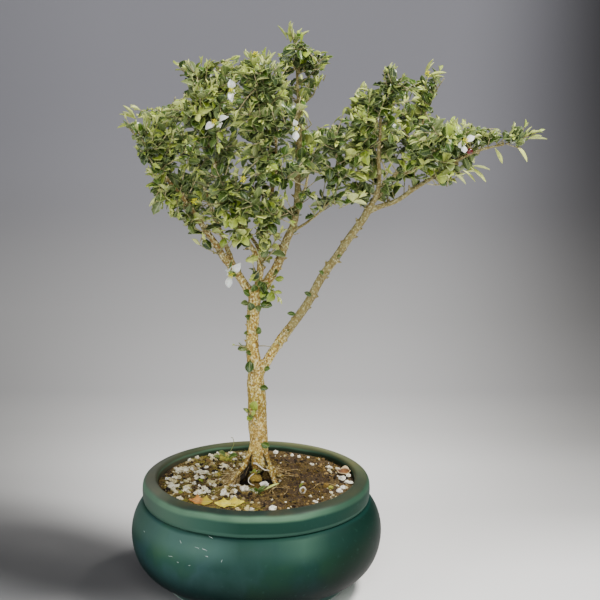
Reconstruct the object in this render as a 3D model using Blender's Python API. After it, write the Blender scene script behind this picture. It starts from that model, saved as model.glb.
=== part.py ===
"""Dwarf holly bonsai in a round glazed pot.

Metres, +Z up. The origin is the centre of the pot's foot, on the surface it stands on, and the
tree is seen from -Y. The wood is one grown piece; each leafy spray is a thin twig with its side
twigs and leaves, fused in one body that stands just off the branch it grows from.
"""

import math
import random

import bmesh
import bpy
from mathutils import Matrix, Vector, noise
from mathutils.bvhtree import BVHTree

MM = 0.001
GAP = 0.35 * MM  # left between pieces that touch on the real tree
UP = Vector((0, 0, 1))

# The pot
POT_SEGMENTS = 32
POT_HEIGHT = 79 * MM
FLOOR_HEIGHT = 12 * MM
FOOT_RADIUS = 65.5 * MM
FOOT_HEIGHT = 7 * MM
BELLY_CORE = 67 * MM  # radius that the belly swells out from
BELLY_SWELL = 23 * MM
BELLY_HEIGHT = 40 * MM  # height of its widest ring
BELLY_DROP = 31.8 * MM  # from that ring down to the foot
BELLY_RISE = 29.5 * MM  # the same swell above it, cut off by the neck
BELLY_ANGLES = (-90, -60, -36, -17, 0, 18, 37, 54)
RIM_RADIUS = 81.5 * MM
MOUTH_RADIUS = 70.5 * MM
DRAIN_RADIUS = 6 * MM
DRAIN_CIRCLE = 34 * MM
DRAIN_COUNT = 3

# The soil
SOIL_EDGE = 73.5 * MM  # height of its surface where it meets the wall
SOIL_MOUND = 3.6 * MM  # how much it rises towards the trunk
SOIL_LUMP = 1.5 * MM
LUMPS_PER_METRE = 95
SOIL_RINGS = (0.9, 0.76, 0.61, 0.45, 0.24)  # shares of the mouth's radius
GRAIN_COUNT = 26
GRAIN_SIZE = 5.0 * MM
GRAINS_FROM = 32 * MM  # the ring of soil, round the roots, that the grains lie in
GRAINS_TO = 65 * MM
GRAINS_APART = 9 * MM
GRAINS_OFF_LEAVES = 14 * MM

# Twigs and leaves
STEM_FOOT = 0.4 * MM  # height of the plain block that a spray's stem starts from
STEM_START = 0.6 * MM  # where the stem leaves it
TWIG_SIDE = 1.15 * MM
TWIG_TIP_SIDE = 0.85 * MM
JOINT_LENGTH = 1.2 * MM
JOINT_SPACING = 8.8 * MM
FIRST_JOINT = 6.0 * MM
SIDE_TWIG = 17 * MM
LEAF_LENGTH = 11.0 * MM
LEAF_WIDTH = 6.6 * MM
LEAF_THICK = 0.75 * MM
LEAF_ARCH = 0.18
LEAF_PITCH = (50, 74)  # degrees off the twig, of the first and second pair at a joint
SPINY_EVERY = 7  # one leaf in so many has its pointed lobes
END_LEAF = 9.5 * MM  # how far the leaf at a twig's tip reaches past it
SHORT_SCALE = 0.62  # leaves on the short shoots
SHORT_JOINTS = (4 * MM, 5 * MM)  # where their first joint is, and how far apart the others are
SIDE_JOINTS = (7 * MM, 9 * MM)  # the same on a side twig
TOP_SHARE = 0.62  # width of a leaf's upper face as a share of its lower one
SPARE = 0.3 * MM  # kept round each leaf and twig
TEST_FROM = 2.6 * MM  # a leaf or twig is tested from here on, past the stem that it leaves
NEAR_SPARE = 0.08 * MM  # the same, of a leaf's foot from other leaves
NEAR_FROM = 1.0 * MM
FOOT_FROM = 0.2 * MM  # where a leaf counts as standing, for the leaves of other joints

# Flowers
PETAL_RINGS = ((3.4, 1.3), (5.8, 5.6), (8.2, 6.2))  # reach and width along a petal (mm)
PETAL_TIP = 9.6
PETAL_THICK = 0.65 * MM
PETAL_CURL = 0.036
HUB_RADIUS = 1.3 * MM
HUB_HEIGHT = 1.0 * MM
EYE_RADIUS = 1.7 * MM
STALK_SIDE = 0.9 * MM

# Knots of the wood, in millimetres: x, y, z and radius. Each branch starts inside its parent.
TRUNK = (
    (2, 0, 62, 8.4), (2, 0, 74, 8.9), (2, 0, 81, 7.6), (2, 0, 90, 6.8), (2, 0, 107, 6.6),
    (1, 0, 122, 6.7), (1, 0, 137, 6.6), (0, -1, 150, 6.2), (0, -1, 160, 5.6), (-2, -2, 174, 4.5),
    (-2, -2, 189, 4.3), (-1, -1, 203, 4.6), (0, 0, 214, 4.4), (1, 0, 219, 3.6),
)
# Name, radius at the start and at the end, and the knots (x, y, z) of each branch.
BRANCHES = (
    ("limb", 3.3, 2.4, ((0, 0, 151), (6, 0, 162), (16, 1, 178), (26, 2, 194), (36, 4, 208),
                        (45, 6, 225), (55, 7, 239), (65, 8, 254), (75, 8, 268), (79, 8, 274))),
    ("limb_up", 2.0, 0.9, ((76, 8, 269), (84, 5, 283), (86, 0, 296), (85, -5, 313), (86, -10, 330),
                           (86, -14, 342), (90, -16, 354))),
    ("limb_back", 1.5, 0.8, ((86, 1, 294), (84, 20, 306), (75, 38, 317), (68, 48, 331))),
    ("limb_slant", 1.8, 0.8, ((79, 8, 274), (96, 14, 294), (107, 22, 309), (115, 28, 325),
                              (121, 32, 342))),
    ("limb_front", 1.4, 0.8, ((93, 13, 290), (101, -5, 299), (113, -20, 309), (123, -32, 321))),
    ("limb_long", 2.1, 0.9, ((76, 8, 270), (87, 8, 275), (98, 7, 279), (109, 5, 287), (119, 3, 294),
                             (130, 0, 301), (140, -3, 310), (155, -5, 317), (171, -6, 321))),
    ("left_low", 2.9, 0.9, ((-1, 0, 211), (-13, -3, 231), (-21, -6, 241), (-26, -9, 251),
                            (-33, -13, 262), (-39, -18, 273), (-47, -24, 286), (-56, -30, 299),
                            (-63, -34, 311))),
    ("left_back", 2.0, 0.8, ((-13, -3, 231), (-23, 8, 254), (-29, 13, 268), (-35, 20, 284),
                             (-40, 27, 302), (-48, 32, 316), (-59, 36, 326))),
    ("middle_left", 2.2, 0.8, ((1, 0, 214), (4, -4, 236), (-5, -10, 255), (-15, -18, 279),
                               (-21, -22, 296), (-27, -26, 313), (-31, -30, 334), (-32, -32, 355))),
    ("middle_back", 2.3, 0.8, ((1, 1, 215), (3, 5, 230), (4, 9, 246), (4, 14, 263), (6, 20, 284),
                               (3, 28, 304), (-1, 36, 328), (-5, 42, 348))),
    ("far_back", 1.5, 0.8, ((4, 8, 243), (-7, 25, 256), (-17, 45, 271), (-25, 58, 288))),
    ("middle_front", 1.9, 0.8, ((3, -3, 232), (8, -8, 258), (11, -14, 282), (15, -26, 307),
                                (15, -36, 332), (10, -40, 356))),
    ("leader", 3.5, 0.9, ((0, 0, 210), (8, 2, 222), (16, 3, 235), (22, 4, 252), (27, 4, 263),
                          (29, 4, 275), (30, 4, 294), (31, 4, 315), (31, 3, 335), (30, 2, 357),
                          (29, 1, 376))),
    ("leader_front", 1.6, 0.8, ((24, 4, 257), (36, -4, 266), (47, -12, 277), (55, -16, 288),
                                (57, -20, 301), (56, -24, 315))),
    ("leader_back", 1.6, 0.8, ((27, 4, 264), (33, 22, 277), (37, 40, 291), (39, 52, 307))),
)
ROOT_BEND = 1.8 * MM
# Compass angle in degrees, reach and thickness (mm) of each surface root; 270 faces the viewer.
ROOTS = (
    (196, 20, 2.3), (228, 29, 2.6), (262, 18, 2.7), (300, 23, 2.5), (338, 17, 2.1),
    (22, 22, 2.2), (75, 19, 2.5), (122, 23, 2.3), (160, 17, 2.0),
)

# Each leafy spray: name, the branch that it grows on, how far along (0 to 1), and where its tips
# end (mm). The first tip is the main twig's, and the others fork off it.
SPRAYS = (
    ("spray_left_tip", "left_low", 1.0, ((-88, -18, 339), (-66, -62, 318))),
    ("spray_left_edge", "left_low", 0.8, ((-69, -46, 287),)),
    ("spray_left_under", "left_low", 0.6, ((-50, -42, 269),)),
    ("spray_left_low", "left_low", 0.35, ((-32, -34, 250),)),
    ("spray_left_top", "left_back", 1.0, ((-76, 20, 347), (-46, 12, 354))),
    ("spray_left_back", "left_back", 0.85, ((-75, 54, 313),)),
    ("spray_left_inner", "left_back", 0.58, ((-52, 54, 286),)),
    ("spray_back_tip", "far_back", 1.0, ((-45, 78, 304), (-14, 80, 308))),
    ("spray_back_low", "far_back", 0.6, ((-34, 50, 260),)),
    ("spray_crown_left", "middle_left", 1.0, ((-54, -20, 381), (-12, -26, 386))),
    ("spray_crown_front", "middle_left", 0.88, ((-36, -56, 378), (-56, -56, 354))),
    ("spray_front_left", "middle_left", 0.5, ((-26, -60, 320),)),
    ("spray_crown_back", "middle_back", 1.0, ((-2, 38, 386), (-30, 62, 358))),
    ("spray_crown_rear", "middle_back", 0.82, ((16, 66, 362),)),
    ("spray_front_top", "middle_front", 1.0, ((4, -60, 386), (-12, -66, 352))),
    ("spray_front_right", "middle_front", 0.8, ((34, -60, 358),)),
    ("spray_front_side", "middle_front", 0.55, ((36, -50, 318),)),
    ("spray_front_low", "middle_front", 0.3, ((18, -48, 284), (-10, -48, 294))),
    ("spray_top", "leader", 1.0, ((25, 4, 404), (42, -28, 384))),
    ("spray_top_right", "leader", 0.82, ((56, 14, 376), (46, 28, 360))),
    ("spray_right_edge", "leader", 0.72, ((52, -18, 354),)),
    ("spray_right_back", "leader", 0.55, ((58, 32, 334),)),
    ("spray_mid_front", "leader_front", 1.0, ((54, -50, 340),)),
    ("spray_mid_low", "leader_front", 0.55, ((64, -36, 276),)),
    ("spray_rear_right", "leader_back", 1.0, ((50, 76, 330), (20, 70, 320))),
    ("spray_hub", "leader", 0.06, ((19, -14, 214),)),
    ("spray_up_tip", "limb_up", 1.0, ((86, -22, 379), (108, -38, 364))),
    ("spray_up_front", "limb_up", 0.75, ((66, -42, 350),)),
    ("spray_up_left", "limb_up", 0.5, ((60, 0, 326), (76, -32, 322))),
    ("spray_slant_tip", "limb_slant", 1.0, ((134, 24, 367), (102, 46, 358))),
    ("spray_slant_back", "limb_slant", 0.6, ((142, 46, 330),)),
    ("spray_long_tip", "limb_long", 1.0, ((198, -6, 331), (180, -28, 313))),
    ("spray_long_top", "limb_long", 0.76, ((170, 12, 340), (148, -6, 338))),
    ("spray_long_low", "limb_long", 0.5, ((142, -20, 289), (116, -26, 296))),
    ("spray_long_back", "limb_long", 0.62, ((152, 30, 316),)),
    ("spray_fore_tip", "limb_front", 1.0, ((148, -40, 338), (110, -60, 340))),
    ("spray_rear_tip", "limb_back", 1.0, ((72, 64, 348), (94, 68, 336))),
    ("spray_rear_low", "limb_back", 0.5, ((62, 34, 300),)),
    ("shoot_trunk_low", "trunk", 0.39, ((-7, -17, 134),)),
    ("shoot_trunk_high", "trunk", 0.72, ((-17, -8, 180),)),
)
SHORT_SPRAYS = ("spray_hub", "shoot_trunk_low", "shoot_trunk_high")

# Each flower: name, the spray that carries it, its middle (mm), the way it faces, and whether it
# still has its petals. The last number is its size as a share of the largest flower's.
BLOOMS = (
    ("bloom_low", "spray_left_low", (-16, -27, 236), (0.1, -1.0, -0.1), True, 0.95),
    ("bloom_left", "spray_front_top", (-22, -70, 345), (-0.4, -0.9, 0.4), True, 0.72),
    ("bloom_high", "spray_front_top", (-12, -74, 366), (-0.2, -0.9, 0.5), True, 0.72),
    ("bloom_middle", "spray_front_right", (29, -72, 342), (0.2, -1.0, 0.1), True, 0.62),
    ("bloom_right", "spray_fore_tip", (138, -58, 330), (0.3, -0.8, 0.6), True, 0.78),
    ("eye_left", "spray_left_edge", (-38, -50, 290), (-0.3, -0.9, 0.3), False, 1.0),
    ("eye_inner", "spray_front_low", (-6, -56, 306), (0.0, -1.0, 0.2), False, 1.0),
    ("eye_top", "spray_crown_left", (2, -36, 385), (0.1, -0.7, 0.7), False, 1.0),
    ("eye_slant", "spray_slant_tip", (119, 14, 366), (0.0, -0.7, 0.7), False, 1.0),
    ("eye_limb", "spray_up_left", (74, -14, 330), (0.0, -0.9, 0.4), False, 1.0),
)

# Reach and width along a dead leaf, as shares of its length and width: a holly's pointed lobes.
DEAD_LOBES = ((0.16, 0.72), (0.3, 0.56), (0.44, 1.0), (0.58, 0.7), (0.74, 0.84), (0.9, 0.3))
# Fallen leaves on the soil: name, middle (mm), compass angle, length, width and curl (mm).
FALLEN = (
    ("fallen_leaf_yellow", (-21, -50), 8, 22, 10, 1.5),
    ("fallen_leaf_brown", (-42, -46), 165, 16, 8, 3.0),
)

COLOURS = {  # base colour, roughness
    "glaze": ((0.035, 0.13, 0.125), 0.25),
    "soil": ((0.075, 0.055, 0.035), 0.95),
    "bark": ((0.42, 0.31, 0.19), 0.85),
    "leaf": ((0.085, 0.19, 0.06), 0.45),
    "petal": ((0.9, 0.9, 0.86), 0.6),
    "eye": ((0.62, 0.6, 0.08), 0.7),
    "dead_leaf": ((0.55, 0.42, 0.12), 0.75),
}


def mm(*values):
    """A point given in millimetres, as a Vector in metres."""
    return Vector(values) * MM


def material(name):
    """The named finish: a Principled material with its colour and roughness."""
    found = bpy.data.materials.get(name)
    if found:
        return found
    colour, roughness = COLOURS[name]
    made = bpy.data.materials.new(name)
    made.use_nodes = True
    shader = made.node_tree.nodes["Principled BSDF"]
    shader.inputs["Base Color"].default_value = (*colour, 1)
    shader.inputs["Roughness"].default_value = roughness
    made.diffuse_color = (*colour, 1)
    return made


def clear_scene():
    for obj in list(bpy.data.objects):
        bpy.data.objects.remove(obj)


def add_object(name, bm, finish):
    """Turns a bmesh into a named object with its finish."""
    mesh = bpy.data.meshes.new(name)
    bm.to_mesh(mesh)
    bm.free()
    obj = bpy.data.objects.new(name, mesh)
    obj.data.materials.append(material(finish))
    bpy.context.scene.collection.objects.link(obj)
    return obj


def boolean(obj, operation, tool):
    """Applies one Boolean between an object and another object or a collection."""
    modifier = obj.modifiers.new(operation.title(), "BOOLEAN")
    modifier.operation = operation
    modifier.solver = "MANIFOLD"
    if isinstance(tool, bpy.types.Collection):
        modifier.operand_type = "COLLECTION"
        modifier.collection = tool
    else:
        modifier.object = tool
    graph = bpy.context.evaluated_depsgraph_get()
    result = bpy.data.meshes.new_from_object(obj.evaluated_get(graph))
    obj.modifiers.remove(modifier)
    obj.data = result


def turned(profile, segments):
    """A bmesh of the profile's (radius, height) points turned round Z. It starts and ends on the axis."""
    bm = bmesh.new()
    verts = [bm.verts.new((radius, 0, height)) for radius, height in profile]
    edges = [bm.edges.new(pair) for pair in zip(verts, verts[1:])]
    bmesh.ops.spin(
        bm, geom=verts + edges, axis=UP, cent=(0, 0, 0), angle=math.tau, steps=segments,
        use_merge=True,
    )
    bmesh.ops.remove_doubles(bm, verts=bm.verts, dist=1e-6)
    bmesh.ops.recalc_face_normals(bm, faces=bm.faces)
    return bm


def shade_round(obj, angle=40):
    obj.data.shade_smooth()
    obj.data.set_sharp_from_angle(angle=math.radians(angle))


# The pot and the soil

def pot_inside(inset=0.0):
    """The (radius, height) points of the pot's inner face, from the floor's middle to the lip."""
    return [
        (0, FLOOR_HEIGHT + inset),
        (66 * MM - inset, FLOOR_HEIGHT + 1.5 * MM + inset),
        (78.5 * MM - inset, 24 * MM + inset * 0.5),
        (83.2 * MM - inset, 40 * MM),
        (80 * MM - inset, 54 * MM),
        (MOUTH_RADIUS - inset, 66 * MM),
    ]


def pot_belly():
    """The (radius, height) points up the belly: a swell that is part of an ellipse each way."""
    points = []
    for angle in BELLY_ANGLES:
        turn = math.radians(angle)
        height = BELLY_DROP if angle < 0 else BELLY_RISE
        points.append(
            (BELLY_CORE + BELLY_SWELL * math.cos(turn), BELLY_HEIGHT + height * math.sin(turn))
        )
    return points


def make_pot():
    """A foot, a swollen belly, a shallow neck and a thick rounded rim, with drain holes in the floor."""
    foot = [
        (0, 0), (FOOT_RADIUS - 2 * MM, 0), (FOOT_RADIUS, 1.6 * MM), (FOOT_RADIUS, FOOT_HEIGHT),
    ]
    rim = [
        (RIM_RADIUS, POT_HEIGHT - 13 * MM), (RIM_RADIUS, POT_HEIGHT - 5 * MM),
        (RIM_RADIUS - 1.6 * MM, POT_HEIGHT - 1.2 * MM), (RIM_RADIUS - 5.3 * MM, POT_HEIGHT),
        (MOUTH_RADIUS + 1.9 * MM, POT_HEIGHT - 1.2 * MM),
    ]
    outline = foot + pot_belly() + rim + pot_inside()[::-1]
    pot = add_object("pot", turned(outline, POT_SEGMENTS), "glaze")
    holes = bpy.data.collections.new("drain holes")
    for index in range(DRAIN_COUNT):
        angle = math.tau * index / DRAIN_COUNT
        bm = bmesh.new()
        bmesh.ops.create_cone(
            bm, cap_ends=True, segments=10, radius1=DRAIN_RADIUS, radius2=DRAIN_RADIUS,
            depth=4 * FLOOR_HEIGHT,
            matrix=Matrix.Rotation(angle, 4, "Z") @ Matrix.Translation((DRAIN_CIRCLE, 0, 0)),
        )
        hole = add_object(f"drain_{index}", bm, "glaze")
        bpy.context.scene.collection.objects.unlink(hole)
        holes.objects.link(hole)
    boolean(pot, "DIFFERENCE", holes)
    for hole in list(holes.objects):
        bpy.data.objects.remove(hole)
    shade_round(pot)
    return pot


def soil_height(x, y):
    """Height of the soil's surface: a low mound round the trunk, with lumps of compost and moss."""
    reach = math.hypot(x, y) / MOUTH_RADIUS
    mound = SOIL_MOUND * max(0.0, 1 - reach ** 1.6)
    place = Vector((x, y, 0)) * LUMPS_PER_METRE
    lumps = noise.noise(place) + 0.5 * noise.noise(place * 2.3)
    fade = min(1.0, 6 * max(0.0, 0.97 - reach))
    return SOIL_EDGE + mound + SOIL_LUMP * lumps * fade


def raise_grains(bm):
    """Raises perlite grains out of some faces of the soil's surface, clear of roots and leaves."""
    rng = random.Random("perlite")
    keep_off = [Vector((leaf[1][0], leaf[1][1])) * MM for leaf in FALLEN]
    ready = []
    for face in bm.faces:
        middle = face.calc_center_median()
        flat = middle.to_2d()
        on_top = middle.z > SOIL_EDGE - 2 * MM and GRAINS_FROM < flat.length < GRAINS_TO
        if on_top and all((flat - spot).length > GRAINS_OFF_LEAVES for spot in keep_off):
            ready.append(face)
    rng.shuffle(ready)
    chosen = []
    for face in ready:
        middle = face.calc_center_median()
        if all((middle - other.calc_center_median()).length > GRAINS_APART for other in chosen):
            chosen.append(face)
    for face in chosen[:GRAIN_COUNT]:
        middle = face.calc_center_median()
        size = GRAIN_SIZE * rng.uniform(0.75, 1.2)
        turn = rng.uniform(0, math.tau)
        for height, share in ((-0.1, 1.0), (0.42, 0.66)):
            corners = []
            for index in range(4):
                angle = turn + math.tau * index / 4
                reach = size / 2 * share * rng.uniform(0.85, 1.15)
                way = Vector((math.cos(angle), math.sin(angle), 0))
                corners.append(middle + way * reach + UP * height * size)
            face = extrude_through(bm, face, [corners])


def make_soil(root_tools):
    """The fill of the pot, with plain holes where the wood stands in it."""
    side = pot_inside(GAP) + [(MOUTH_RADIUS - GAP, SOIL_EDGE)]
    top = [(MOUTH_RADIUS * share, SOIL_EDGE + 1 * MM) for share in SOIL_RINGS]
    bm = turned(side + top + [(0, SOIL_EDGE + 1 * MM)], POT_SEGMENTS)
    for vert in bm.verts:
        if vert.co.z > SOIL_EDGE + 0.5 * MM:
            vert.co.z = soil_height(vert.co.x, vert.co.y)
    raise_grains(bm)
    soil = add_object("soil", bm, "soil")
    boolean(soil, "DIFFERENCE", root_tools)
    bpy.data.objects.remove(root_tools)
    return soil


# The wood

def smooth_line(knots, per_span):
    """Points of a Catmull-Rom curve through the knots, with per_span of them to each stretch."""
    ends = [2 * knots[0] - knots[1], *knots, 2 * knots[-1] - knots[-2]]
    line = []
    for a, b, c, d in zip(ends, ends[1:], ends[2:], ends[3:]):
        for index in range(per_span):
            t = index / per_span
            line.append(
                (2 * b + (c - a) * t + (2 * a - 5 * b + 4 * c - d) * t ** 2
                 + (3 * b - a - 3 * c + d) * t ** 3) / 2
            )
    return [*line, knots[-1].copy()]


class Limb:
    """A length of wood: its line, its radius at each point, and how round it is."""

    def __init__(self, knots, radii, sides, per_span=1):
        self.points = smooth_line(knots, per_span)
        count = len(self.points) - 1
        spans = len(radii) - 1
        self.radii = []
        for index in range(count + 1):
            along = index / count * spans
            low = min(int(along), spans - 1)
            self.radii.append(radii[low] + (radii[low + 1] - radii[low]) * (along - low))
        self.sides = sides

    def at(self, share):
        """The point, heading and radius at a share of the limb's length."""
        steps = [(b - a).length for a, b in zip(self.points, self.points[1:])]
        left = share * sum(steps)
        for index, step in enumerate(steps):
            if left <= step or index == len(steps) - 1:
                break
            left -= step
        a, b = self.points[index], self.points[index + 1]
        t = min(1.0, left / step)
        radius = self.radii[index] + (self.radii[index + 1] - self.radii[index]) * t
        return a.lerp(b, t), (b - a).normalized(), radius

    def solid(self, name, thicker=0.0):
        """A closed bar along the limb, made from a curve with a bevel and filled caps."""
        curve = bpy.data.curves.new(name, "CURVE")
        curve.dimensions = "3D"
        curve.bevel_depth = 1
        curve.bevel_resolution = self.sides // 2 - 2
        curve.use_fill_caps = True
        spline = curve.splines.new("POLY")
        spline.points.add(len(self.points) - 1)
        for knot, place, radius in zip(spline.points, self.points, self.radii):
            knot.co = (*place, 1)
            knot.radius = radius + thicker
        guide = bpy.data.objects.new(name, curve)
        bpy.context.scene.collection.objects.link(guide)
        graph = bpy.context.evaluated_depsgraph_get()
        bm = bmesh.new()
        bm.from_mesh(guide.evaluated_get(graph).to_mesh())
        bpy.data.objects.remove(guide)
        bmesh.ops.remove_doubles(bm, verts=bm.verts, dist=1e-6)
        bmesh.ops.recalc_face_normals(bm, faces=bm.faces)
        return add_object(name, bm, "bark")


def grown_limbs():
    """Every length of wood above ground, by name."""
    trunk_knots = [mm(x, y, z) for x, y, z, _ in TRUNK]
    limbs = {"trunk": Limb(trunk_knots, [knot[3] * MM for knot in TRUNK], 10)}
    for name, thick, thin, knots in BRANCHES:
        sides = 8 if thick > 3 else 6
        limbs[name] = Limb([mm(*knot) for knot in knots], [thick * MM, thin * MM], sides)
    return limbs


def surface_roots():
    """Roots that leave the flare of the trunk, run out over the soil and go down into it."""
    foot = mm(TRUNK[1][0], TRUNK[1][1], 0)
    roots = []
    for number, (angle, reach, thick) in enumerate(ROOTS):
        way = Vector((math.cos(math.radians(angle)), math.sin(math.radians(angle)), 0))
        aside = way.cross(UP) * (ROOT_BEND if number % 2 else -ROOT_BEND)
        knots = [
            foot + way * 3 * MM + UP * 93 * MM,
            foot + way * 7.6 * MM + UP * 84 * MM,
            foot + way * (0.55 * reach * MM + 1.5 * MM) + aside + UP * 78.6 * MM,
            foot + way * reach * MM + aside * 0.5 + UP * 75.2 * MM,
            foot + way * (reach + 6) * MM + UP * 69 * MM,
        ]
        shares = (1.1, 1.15, 0.95, 0.7, 0.4)
        roots.append(Limb(knots, [thick * share * MM for share in shares], 6))
    return roots


def fused(name, limbs, thicker=0.0):
    """One body from overlapping limbs."""
    solids = [limb.solid(f"{name}_{index}", thicker) for index, limb in enumerate(limbs)]
    whole, *others = solids
    others_group = bpy.data.collections.new(f"{name} limbs")
    for other in others:
        bpy.context.scene.collection.objects.unlink(other)
        others_group.objects.link(other)
    boolean(whole, "UNION", others_group)
    for other in others:
        bpy.data.objects.remove(other)
    whole.name = name
    whole.data.name = name
    return whole


def tree_of(obj):
    """The object's surface, for finding what lies near it."""
    bm = bmesh.new()
    bm.from_mesh(obj.data)
    tree = BVHTree.FromBMesh(bm)
    bm.free()
    return tree


# Leafy sprays

class Crowd:
    """What stands in the crown already. A new leaf or twig is kept clear of it."""

    def __init__(self):
        self.standing = []

    def add(self, points, tree, joint=None):
        low = Vector([min(point[axis] for point in points) for axis in range(3)])
        high = Vector([max(point[axis] for point in points) for axis in range(3)])
        self.standing.append((low, high, tree, joint))

    def has_room(self, points, tree, but=None, leaves_only=False):
        """Whether the shape meets nothing but what grows on one joint, or meets no leaf at all."""
        low = Vector([min(point[axis] for point in points) for axis in range(3)])
        high = Vector([max(point[axis] for point in points) for axis in range(3)])
        for other_low, other_high, other, joint in self.standing:
            if (but and joint is but) or (leaves_only and joint is None):
                continue
            apart = any(
                low[axis] > other_high[axis] or high[axis] < other_low[axis] for axis in range(3)
            )
            if not apart and tree.overlap(other):
                return False
        return True


def ring_shell(rings, tip=None):
    """The points and the surface of a bar through rings of four corners, closed at both ends."""
    points = [corner for ring in rings for corner in ring]
    faces = [(3, 2, 1, 0)]
    for start in range(0, len(points) - 4, 4):
        for index in range(4):
            after = (index + 1) % 4
            faces.append((start + index, start + after, start + 4 + after, start + 4 + index))
    last = len(points) - 4
    if tip is None:
        faces.append((last, last + 1, last + 2, last + 3))
    else:
        points.append(tip)
        faces += [(last + index, last + (index + 1) % 4, last + 4) for index in range(4)]
    return points, BVHTree.FromPolygons(points, faces)


def ring(centre, across, along, width, depth):
    """Four corners round centre, in the order (-, -), (+, -), (+, +), (-, +)."""
    return [
        centre + across * (a * width / 2) + along * (b * depth / 2)
        for a, b in ((-1, -1), (1, -1), (1, 1), (-1, 1))
    ]


def extrude_through(bm, face, rings):
    """Extrudes a four-cornered face through rings of corners, matched by where they stand."""
    for corners in rings:
        middle = sum(corners, Vector()) / 4
        old_middle = face.calc_center_median()
        grown = bmesh.ops.extrude_discrete_faces(bm, faces=[face])["faces"][0]
        verts = list(grown.verts)
        start = max(
            range(4),
            key=lambda shift: sum(
                (verts[(index + shift) % 4].co - old_middle).normalized().dot(
                    (corners[index] - middle).normalized()
                )
                for index in range(4)
            ),
        )
        for index in range(4):
            verts[(index + start) % 4].co = corners[index]
        face = grown
    return face


class Joint:
    """A place on a twig where two pairs of leaves stand crosswise. A side twig can take a leaf's place."""

    def __init__(self, place, heading, ways, walls):
        self.place = place
        self.heading = heading
        self.free = [
            (way, max(walls, key=lambda wall: wall.normal.dot(way))) for way in ways
        ]

    def take(self, aim):
        """The free side that looks most towards aim, taken off the list, or None."""
        if not self.free:
            return None
        best = max(self.free, key=lambda side: side[0].dot(aim))
        self.free.remove(best)
        return best

    def start(self, way):
        """Where a leaf or side twig on this side leaves the twig's surface."""
        return self.place + way * (TWIG_SIDE / 2)


class Twig:
    """A thin four-sided stem along a bowed line, with its joints."""

    def __init__(self, start, heading, tip, first=FIRST_JOINT, spacing=JOINT_SPACING):
        self.start = start
        self.tip = tip
        self.bow = start + heading * ((tip - start).length * 0.42)
        self.length = self.measure()
        count = max(1, round((self.length - first) / spacing))
        self.stops = [first + (self.length - first) * index / count for index in range(count)]

    def point(self, t):
        return self.start * (1 - t) ** 2 + self.bow * (2 * t * (1 - t)) + self.tip * t ** 2

    def heading(self, t):
        slope = (self.bow - self.start) * (1 - t) + (self.tip - self.bow) * t
        return slope.normalized()

    def measure(self):
        points = [self.point(index / 12) for index in range(13)]
        return sum((b - a).length for a, b in zip(points, points[1:]))

    def side(self, t):
        return TWIG_SIDE + (TWIG_TIP_SIDE - TWIG_SIDE) * t

    def frames(self):
        """(share, heading, across, along) at the start, either end of each joint, and the tip."""
        half = JOINT_LENGTH / 2
        shares = [0.0]
        for stop in self.stops:
            shares += [(stop - half) / self.length, (stop + half) / self.length]
        shares.append(1.0)
        across = self.heading(0).orthogonal().normalized()
        frames = []
        for t in shares:
            heading = self.heading(t)
            across = (across - heading * across.dot(heading)).normalized()
            frames.append((t, heading, across, heading.cross(across)))
        return frames

    def rings(self, frames, spare=0.0):
        return [
            ring(self.point(t), across, along, self.side(t) + 2 * spare, self.side(t) + 2 * spare)
            for t, _, across, along in frames
        ]

    def shell(self, spare=0.0, skip=0.0):
        """The twig's surface, grown by spare, from a distance skip past its start."""
        frames = self.frames()
        first = skip / self.length
        heading = self.heading(first)
        across = frames[0][2]
        across = (across - heading * across.dot(heading)).normalized()
        cut = (first, heading, across, heading.cross(across))
        return ring_shell(self.rings([cut, *(frame for frame in frames if frame[0] > first)], spare))

    def build(self, bm, face):
        """Grows the twig from a face, and gives its joints and the face at its tip."""
        frames = self.frames()
        rings = self.rings(frames)
        joints = []
        face = extrude_through(bm, face, rings[:1])
        for number in range(len(self.stops)):
            face = extrude_through(bm, face, rings[1 + 2 * number:3 + 2 * number])
            t, heading, across, along = frames[2 + 2 * number]
            walls = [other for edge in face.edges for other in edge.link_faces if other is not face]
            for wall in walls:
                wall.normal_update()
            ways = (across, -across, along, -along) if number % 2 else (along, -along, across, -across)
            place = self.point((frames[1 + 2 * number][0] + t) / 2)
            joints.append(Joint(place, heading, ways, walls))
        face = extrude_through(bm, face, rings[-1:])
        return joints, face


class Leaf:
    """A blade on a short broad foot: rings of corners along it, and its pointed tip."""

    SPINY = ((0.3, 1.0), (0.5, 0.7), (0.7, 0.92))
    PLAIN = ((0.46, 1.0),)

    def __init__(self, start, out, across, length, width, arch, outline):
        self.start = start
        self.out = out
        self.across = across
        self.upper = out.cross(across)
        self.length = length
        self.width = width
        self.arch = arch
        self.outline = outline

    def centre(self, share):
        sink = self.upper * (self.arch * self.length * share ** 2)
        return self.start + self.out * (self.length * share) - sink

    def corners(self, share, breadth, spare=0.0):
        centre = self.centre(share)
        low = self.across * (breadth / 2 + spare)
        high = self.across * (breadth / 2 * TOP_SHARE + spare)
        lift = self.upper * (LEAF_THICK / 2 + spare)
        return [centre - low - lift, centre + low - lift, centre + high + lift, centre - high + lift]

    def rings(self):
        return [self.corners(share, self.width * part) for share, part in self.outline]

    def tip(self, spare=0.0):
        return self.centre(1) + self.out * spare * 2

    def shell(self, spare=0.0, skip=TEST_FROM):
        share, part = self.outline[0]
        first = min(skip / self.length, 0.7 * share)
        foot = TWIG_SIDE + (self.width * part - TWIG_SIDE) * first / share
        rings = [self.corners(first, foot, spare)]
        rings += [self.corners(share, self.width * part, spare) for share, part in self.outline]
        return ring_shell(rings, self.tip(spare))

    def build(self, bm, face):
        end = extrude_through(bm, face, self.rings())
        poked = bmesh.ops.poke(bm, faces=[end])
        poked["verts"][0].co = self.tip()


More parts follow.
